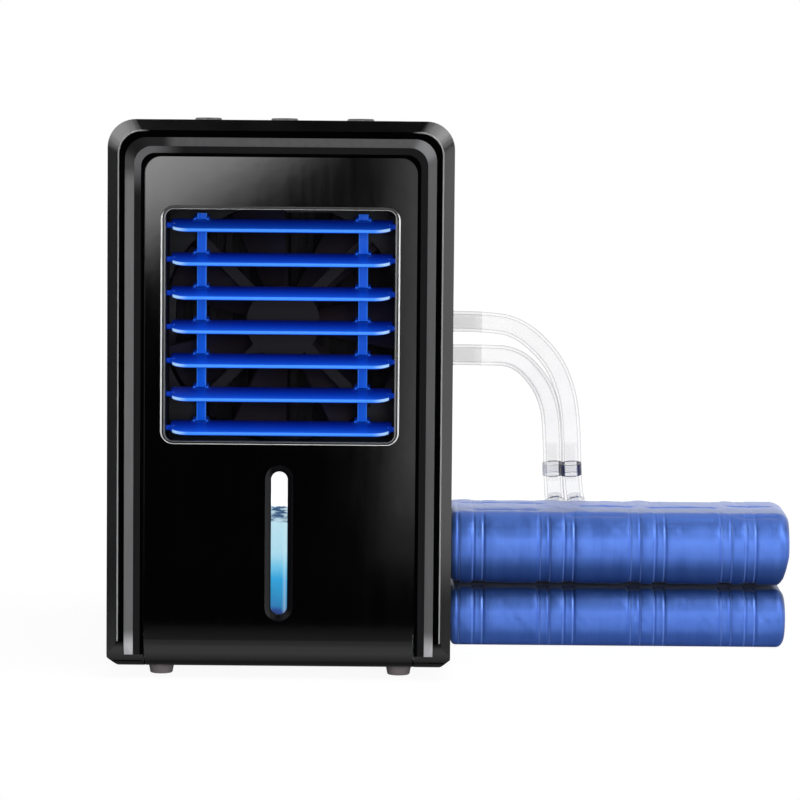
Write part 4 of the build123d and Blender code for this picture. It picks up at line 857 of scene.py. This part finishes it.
paint(make_glow_card(), make_glow_shade(), "casing")
water = make_water()
paint(water, make_water_shade(), "casing")
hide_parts("level_water")
paint(make_ripples(), make_ripple_shade(), "casing")


# Folded pad
PAD_LEFT = 82.0
PAD_RIGHT = 251.7
PAD_FRONT = 117.0
PAD_BACK = 206.0
PAD_TOP = 66.9
# The seam between the two folds
SEAM_LOW = 28.8
SEAM_HIGH = 31.0
SEAM_END = 180.0
LEFT_ROUND = 2.6
RIGHT_ROUND = 5.5
BACK_ROUND = 20.0
FRONT_ROUND = 14.0
FOOT_ROUND = 8.0
LIP = 11.0
# The lower fold stands this far behind the upper one.
SETBACK = 0.6
# Groups of four welds across the pad, and the welds' places within a group
GROUPS = [89.4, 134.9, 180.4, 225.9]
GROUP_STEP = 45.5
WELD_LINES = (-8.8, -3.9, 3.9, 8.8)
CHANNELS = (-6.35, 6.35)
# Width and depth of the welds and of the channels beside them
WELD_WIDTH = 0.62
WELD_DEPTH = 0.75
CHANNEL_WIDTH = 3.2
CHANNEL_DEPTH = 0.85
# Spacing of the sections: in general, round a weld and how far from it, and the least
COLUMN_STEP = 1.3
WELD_STEP = 0.32
WELD_REACH = 1.6
LEAST_STEP = 0.22
# The right end is drawn in by this much: the lower fold, and the upper fold's underside, which
# fades out at a height. Above it the end leans out towards the back.
LOWER_TUCK = 1.6
UPPER_TUCK = 2.4
TUCK_TOP = 46.0
TUCK_FADE = 16.0
END_LEAN = 0.055
LEAN_START_Y = 122.0
# Depth, width and reach past the ends: a dash, and the hollow round it
DASH_DENTS = ((0.95, 0.7, 1.6), (0.6, 3.5, 4.0))
# Lengthwise weld dashes on the top: from x, to x, y
DASHES = [
    (95.7, 124.5, 137.6), (143.0, 167.6, 126.6), (185.7, 213.9, 122.5), (228.0, 245.0, 126.0),
    (90.0, 128.7, 168.5), (150.0, 173.6, 155.0), (184.0, 215.6, 152.0), (226.0, 244.0, 160.0),
    (98.0, 122.0, 188.0), (144.0, 170.0, 186.0), (190.0, 214.0, 187.0),
]


def quarter(centre, reach, start, end, steps):
    """Points on an ellipse's arc, from one angle to another in degrees."""
    angles = np.radians(np.linspace(start, end, steps, endpoint=False))
    return [(centre[0] + reach[0] * math.cos(a), centre[1] + reach[1] * math.sin(a))
            for a in angles]


def straight(first, second, steps):
    return [(first[0] + (second[0] - first[0]) * i / steps,
             first[1] + (second[1] - first[1]) * i / steps) for i in range(steps)]


def pad_section(shrink):
    """Closed section of the folded pad, drawn in by shrink all round: (y, z) points.

    Each line or arc ends with its number of steps.
    """
    front = PAD_FRONT + shrink
    back = PAD_BACK - shrink
    top = PAD_TOP - shrink
    low = shrink
    seam_low = SEAM_LOW - shrink
    seam_high = SEAM_HIGH + shrink
    nose_high = (seam_high + top) / 2 + 2
    nose_low = (low + seam_low) / 2
    heel = low + FOOT_ROUND + 1
    lower_front = front + SETBACK
    rear = back - BACK_ROUND
    bend = (BACK_ROUND, BACK_ROUND)
    points = straight((front + FOOT_ROUND, low), (rear, low), 22)
    points += quarter((rear, low + BACK_ROUND), bend, -90, 0, 16)
    points += straight((back, low + BACK_ROUND), (back, top - BACK_ROUND), 10)
    points += quarter((rear, top - BACK_ROUND), bend, 0, 90, 16)
    points += straight((rear, top), (front + FRONT_ROUND, top), 36)
    points += quarter((front + FRONT_ROUND, nose_high), (FRONT_ROUND, top - nose_high), 90, 180, 18)
    points += quarter((front + LIP, nose_high), (LIP, nose_high - seam_high), 180, 270, 18)
    seam_top = (SEAM_END, SEAM_HIGH - 0.3)
    seam_foot = (SEAM_END, SEAM_LOW + 0.3)
    points += straight((front + LIP, seam_high), seam_top, 16)
    points += straight(seam_top, seam_foot, 2)
    points += straight(seam_foot, (front + LIP, seam_low), 16)
    points += quarter((front + LIP, nose_low), (LIP - SETBACK, seam_low - nose_low), 90, 180, 14)
    points.append((lower_front, nose_low))
    points += straight((lower_front, nose_low - 0.4), (lower_front, heel), 4)
    points += quarter((front + FOOT_ROUND, heel), (FOOT_ROUND - SETBACK, heel - low), 180, 270, 12)
    return np.array(points)


def rounded_end(edge, reach):
    """x and shrink of the sections of an end, from its edge inwards."""
    turns = [math.radians(90 * step / 14) for step in range(15)]
    return [(edge + reach * (1 - math.cos(a)), abs(reach) * (1 - math.sin(a))) for a in turns]


def pad_columns():
    """x and shrink of each section: close together at the welds and at the rounded ends."""
    fine = set()
    for group in GROUPS:
        for line in WELD_LINES:
            for step in np.arange(-WELD_REACH, WELD_REACH + 0.01, WELD_STEP):
                fine.add(round(group + line + step, 2))
    start = PAD_LEFT + LEFT_ROUND
    end = PAD_RIGHT - RIGHT_ROUND
    for x in np.arange(start, end, COLUMN_STEP):
        fine.add(round(float(x), 2))
    kept = []
    for x in sorted(fine):
        if start < x < end and (not kept or x - kept[-1] > LEAST_STEP):
            kept.append(x)
    left = rounded_end(PAD_LEFT, LEFT_ROUND)
    right = rounded_end(PAD_RIGHT, -RIGHT_ROUND)[::-1]
    return left + [(x, 0.0) for x in kept] + right


def dent(distance, width):
    return math.exp(-(distance / width) ** 2)


def limited(value):
    return min(1.0, max(0.0, value))


def ripple_noise(x, s, seed):
    """A few sines that stand in for random creases, the same each run."""
    total = 0.0
    for index in range(5):
        a = 0.037 * (index + 1.3) + 0.011 * seed
        b = 0.021 * (index + 0.7) + 0.007 * seed
        wave = math.sin(a * x * 2.1 + 1.7 * index + seed)
        total += wave * math.sin(b * s * 2.7 + 0.9 * index * seed)
    return total / 5


def pad_depth(x, y, z, s, normal):
    """How far the surface stands in from the plain section, in millimetres."""
    if SEAM_LOW - 3 < z < SEAM_HIGH + 3 and PAD_FRONT + 16 < y < SEAM_END + 1:
        return 0.0
    on_top = max(0.0, normal[1]) ** 2 if z > 50 else 0.0
    on_floor = max(0.0, -normal[1]) if z < 10 else 0.0
    band = 0.0
    crease = 0.0
    for group in GROUPS:
        for line in WELD_LINES:
            crease += dent(x - group - line, WELD_WIDTH)
        for channel in CHANNELS:
            band += dent(x - group - channel, CHANNEL_WIDTH)
    depth = (WELD_DEPTH * crease + CHANNEL_DEPTH * band) * (1.0 - 0.8 * on_top)
    if on_top > 0.2:
        for start, end, row in DASHES:
            reach = max(0.0, start - x, x - end)
            for strength, width, spread in DASH_DENTS:
                depth += strength * dent(y - row, width) * dent(reach, spread) * on_top
    depth += 0.32 * ripple_noise(x, s, 1.0) + 0.16 * ripple_noise(2.6 * x, 3.1 * s, 2.3)
    return depth * (1.0 - on_floor)


def pad_tuck(x, y, z):
    """How far a point of the right end is drawn in."""
    share = (x - PAD_LEFT) / (PAD_RIGHT - PAD_LEFT)
    end = max(0.0, (share - 0.9) / 0.1) ** 2
    rise = (z - TUCK_TOP) / TUCK_FADE
    tuck = LOWER_TUCK * end if z < SEAM_LOW else UPPER_TUCK * end * max(0.0, -rise)
    return tuck - END_LEAN * end * max(0.0, y - LEAN_START_Y) * limited(rise)


def make_pad():
    """The section swept along the pad, dented by its welds and creases."""
    columns = pad_columns()
    count = len(pad_section(0.0))
    points = []
    for x, shrink in columns:
        section = pad_section(shrink)
        ahead = np.roll(section, -1, axis=0)
        behind = np.roll(section, 1, axis=0)
        tangent = ahead - behind
        tangent /= np.linalg.norm(tangent, axis=1)[:, None]
        lengths = np.cumsum(np.linalg.norm(ahead - section, axis=1))
        for (y, z), (ty, tz), s in zip(section, tangent, lengths):
            normal = (tz, -ty)
            depth = pad_depth(x, y, z, s, normal)
            crown = 0.7 * math.sin(math.pi * limited((y - 125) / 70)) if z > 60 else 0.0
            height = max(0.05, z - normal[1] * depth + crown)
            points.append(at(x - pad_tuck(x, y, z), y - normal[0] * depth, height))
    last = len(points) - count
    faces = []
    for low in range(0, last, count):
        for index in range(count):
            after = (index + 1) % count
            faces.append((low + index, low + count + index, low + count + after, low + after))
    return add_mesh("folded_pad", points, faces + cap_faces(0, last, count))


# Painted light and shade over the pad's height: lower roll, dark fold over the seam, bright upper
# roll, shoulder
FOLDS = [(0.0, 0.68), (0.1, 0.66), (0.2, 0.94), (0.27, 0.9), (0.38, 0.26), (0.48, 0.27),
         (0.6, 0.5), (0.7, 1.0), (0.82, 0.97), (0.91, 0.5), (1.0, 0.75)]
# A painted glint runs beside each weld, this far from the middle of its group.
GLINTS = (3.35, 8.25)


def make_pad_shade():
    """Coated nylon: a fine weave under a satin film, streaked where it's stretched, with painted
    sheen, painted light and shade by height and painted glints beside the welds.
    """
    shade = Shade("pad_coated_nylon", (0.08, 0.19, 0.74), 0.42, Metallic=0.35, Sheen_Weight=0.1,
                  Sheen_Roughness=0.35, Sheen_Tint=(0.75, 0.78, 1.0, 1), Specular_IOR_Level=0.3)
    streaks = shade.noise(55.0, 4.0, squeeze=(3.2, 0.5, 0.35))
    color = shade.mix(streaks, (0.088, 0.215, 0.80), (0.165, 0.335, 1.0))
    color = shade.mix(shade.times(shade.noise(16.0), 0.45), color, (0.105, 0.245, 0.85))
    # Painted sheen: paler lilac where the surface is seen edge-on.
    painted_sheen = shade.ease(shade.edge_on(), 0.62, 0.92, 0.0, 0.75)
    color = shade.mix(painted_sheen, color, (0.52, 0.60, 0.92))

    x, y, z = shade.split()
    # Painted light and shade by height, on the front and in the seam.
    level = shade.scaled(streaks, 2.4 * MM, shade.minus(z, 1.2 * MM))
    level = shade.math("DIVIDE", level, 66 * MM)
    shaded = shade.ramp(level, [(share, (light ** 1.35, light ** 1.1, light))
                                for share, light in FOLDS])
    in_front = shade.ease(y, row_y(158), row_y(134))
    in_seam = shade.times(shade.above(z, 24 * MM), shade.below(z, 36 * MM),
                          shade.below(y, row_y(181)))
    color = shade.mix(shade.larger(in_front, in_seam), color, shaded, "MULTIPLY")

    # Painted glints: thin bright lines beside the welds, fading out on top.
    along = shade.minus(x, row_x(GROUPS[0] - GROUP_STEP / 2))
    within = shade.math("MODULO", along, GROUP_STEP * MM)
    within = shade.size(shade.minus(within, GROUP_STEP / 2 * MM))
    beside = [shade.size(shade.minus(within, place * MM)) for place in GLINTS]
    line = shade.ease(shade.smaller(*beside), 0.16 * MM, 0.52 * MM, 1.0, 0.0)
    fade = shade.ease(shade.facing()[2], 0.35, 0.75, 0.55, 0.0)
    shade.tint(shade.times(line, fade), color, (0.24, 0.42, 1.0))
    weave = shade.add("ShaderNodeTexVoronoi", shade.place)
    shade.put(weave, "Scale", 1900.0)
    spread = shade.scaled(streaks, 0.16, 0.30)
    shade.roughen(weave.outputs[0], 0.1, spread)
    fine = shade.bump(weave.outputs[0], 0.12, 0.25)
    shade.bump(streaks, 0.3, 1.2, base=fine)
    return shade


pad = make_pad()
paint(pad, make_pad_shade(), "casing")
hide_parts("mattress_pad")


# Floor, backdrop and light
FLOOR_EDGE_Y = -180.0
# How much of the floor shows as plain white: (metres behind the origin, share)
FLOOR_WHITE = ((0.1, 0.77), (0.8, 0.86))
# How bright the floor looks in reflections, from its near edge to this far behind the origin
FLOOR_STRIP_END = 0.2
FLOOR_STRIP = ((0.0, 0.0), (0.05, 0.11), (0.3, 0.57), (0.335, 0.86), (0.366, 0.86), (0.395, 0.05),
               (0.8, 0.02), (1.0, 1.0))
BOX_Y = -1500.0
MIDDLE = (0.0, 0.0, 0.12)
# Boxes that step their light stand apart by this much: it adds only where they don't coincide.
STEP_BACK = 5.0
# The panel's glow: boxes turned by this angle that start at steps from the foot and end together
GLOW_TURN = 31.8
GLOW_FOOT = (-102, 172)
GLOW_WIDTH = 340
GLOW_END = 165
GLOW_STEPS = ((22, 0.9), (36, 1.3), (50, 1.5), (64, 1.4), (85, 1.3))
# The side glow: the boxes' right and upper edges, then left edge, lower edge and radiance
SIDE_RIGHT = 130
SIDE_TOP = 300
SIDE_STEPS = ((38, -125, 0.35), (52, -85, 0.45), (64, -45, 0.6))


def make_floor():
    """Matte floor that fades into the white backdrop and keeps the object's shadow."""
    edge = row_y(FLOOR_EDGE_Y)
    floor = add_mesh("floor", [(-4, edge, 0), (4, edge, 0), (4, 5, 0), (-4, 5, 0)], [(0, 1, 2, 3)])
    material = bpy.data.materials.new("floor_pale")
    graph = Graph(material)
    rays = graph.add("ShaderNodeLightPath").outputs
    clear = graph.larger(rays["Is Glossy Ray"], rays["Is Transmission Ray"])
    seen = graph.larger(rays["Is Camera Ray"], clear)
    y = graph.split()[1]
    (near, near_share), (far, far_share) = FLOOR_WHITE
    share = graph.times(seen, graph.remap(y, near, far, near_share, far_share))
    strip = graph.ramp(graph.remap(y, edge, FLOOR_STRIP_END),
                       [(position, (level,) * 3) for position, level in FLOOR_STRIP])
    strength = graph.times(graph.choose(rays["Is Glossy Ray"], 1.0, strip), 1.2)
    matte = graph.add("ShaderNodeBsdfDiffuse", (0.9, 0.9, 0.9, 1))
    light = graph.add("ShaderNodeEmission", WHITE, strength)
    mixed = graph.add("ShaderNodeMixShader", share, matte.outputs[0], light.outputs[0])
    graph.add("ShaderNodeOutputMaterial", mixed.outputs[0])
    floor.data.materials.append(material)


def make_world():
    """White behind the object; for reflections pale behind and dark ahead; else even light."""
    world = bpy.data.worlds.new("studio")
    scene.world = world
    graph = Graph(world)
    rays = graph.add("ShaderNodeLightPath").outputs
    y = graph.split(graph.coords.outputs["Generated"])[1]
    white = graph.add("ShaderNodeBackground", WHITE)
    mirror = graph.add("ShaderNodeBackground", WHITE, graph.remap(y, -0.3, 0.2, 0.012, 1.0))
    even = graph.add("ShaderNodeBackground", (0.97, 0.98, 1.0, 1), 0.2)
    lit = graph.add("ShaderNodeMixShader", rays["Is Glossy Ray"], even.outputs[0],
                    mirror.outputs[0])
    seen = graph.larger(rays["Is Camera Ray"], rays["Is Transmission Ray"])
    mixed = graph.add("ShaderNodeMixShader", seen, lit.outputs[0], white.outputs[0])
    graph.add("ShaderNodeOutputWorld", mixed.outputs[0])


def softbox(name, place, target, width, height, radiance, mirrored, diffuse=True, turn=0.0):
    """Rectangular lamp, turned in its own plane; mirrored and diffuse say what it acts on."""
    data = bpy.data.lights.new(name, "AREA")
    data.shape = "RECTANGLE"
    data.size = width
    data.size_y = height
    data.energy = radiance * math.pi * width * height
    lamp = add_object(name, data)
    lamp.location = place
    aim = Vector(target) - Vector(place)
    roll = Quaternion((0.0, 0.0, 1.0), math.radians(turn))
    lamp.rotation_euler = (aim.to_track_quat("-Z", "Y") @ roll).to_euler()
    lamp.visible_glossy = mirrored
    lamp.visible_diffuse = diffuse
    lamp.visible_camera = False


def corner_boxes(name, place, target, steps):
    """Square boxes in the gloss of a corner, brighter towards their common middle."""
    x, y, z = place
    for step, (size, radiance) in enumerate(steps):
        softbox(f"{name}_{step}", (x, y - step * STEP_BACK * MM, z), target, size, size,
                radiance, True, False)


def front_box(name, step, x, z, width, height, radiance, turn=0.0):
    """A box straight ahead that shows only as a reflection, in millimetres."""
    softbox(f"{name}_{step}", at(x, BOX_Y - STEP_BACK * step, z), at(x, 0, z), width * MM,
            height * MM, radiance, True, False, turn)


make_floor()
make_world()
softbox("key", (0.15, -1.75, 0.34), MIDDLE, 0.7, 0.4, 12.0, False)
softbox("pad_box", at(335, BOX_Y, -60), at(165, 117, 45), 0.30, 0.75, 5.5, True, False)
softbox("top_fill", (0.3, -0.7, 1.5), MIDDLE, 0.9, 0.9, 1.6, False)
corner_boxes("corner_left", (-1.25, -0.75, 1.2), (-0.16, -0.1, 0.25),
             ((1.9, 2.2), (1.4, 2.2), (0.9, 2.0)))
corner_boxes("corner_right", (1.0, -0.82, 1.3), (-0.01, -0.1, 0.25),
             ((1.6, 2.6), (1.1, 2.6), (0.7, 2.6)))
softbox("right_strip", (1.45, -0.75, 0.25), MIDDLE, 0.5, 1.3, 2.3, True)
softbox("left_strip", (-1.62, -0.7, 0.2), MIDDLE, 0.28, 1.3, 0.36, True)
lean = math.radians(GLOW_TURN)
for step, (start, radiance) in enumerate(GLOW_STEPS):
    middle = (start + GLOW_END) / 2
    front_box("glow", step, GLOW_FOOT[0] - middle * math.sin(lean),
              GLOW_FOOT[1] + middle * math.cos(lean), GLOW_WIDTH, GLOW_END - start, radiance,
              GLOW_TURN)
for step, (left, low, radiance) in enumerate(SIDE_STEPS):
    front_box("side_glow", step, (left + SIDE_RIGHT) / 2, (low + SIDE_TOP) / 2,
              SIDE_RIGHT - left, SIDE_TOP - low, radiance)

scene.view_settings.view_transform = "Standard"
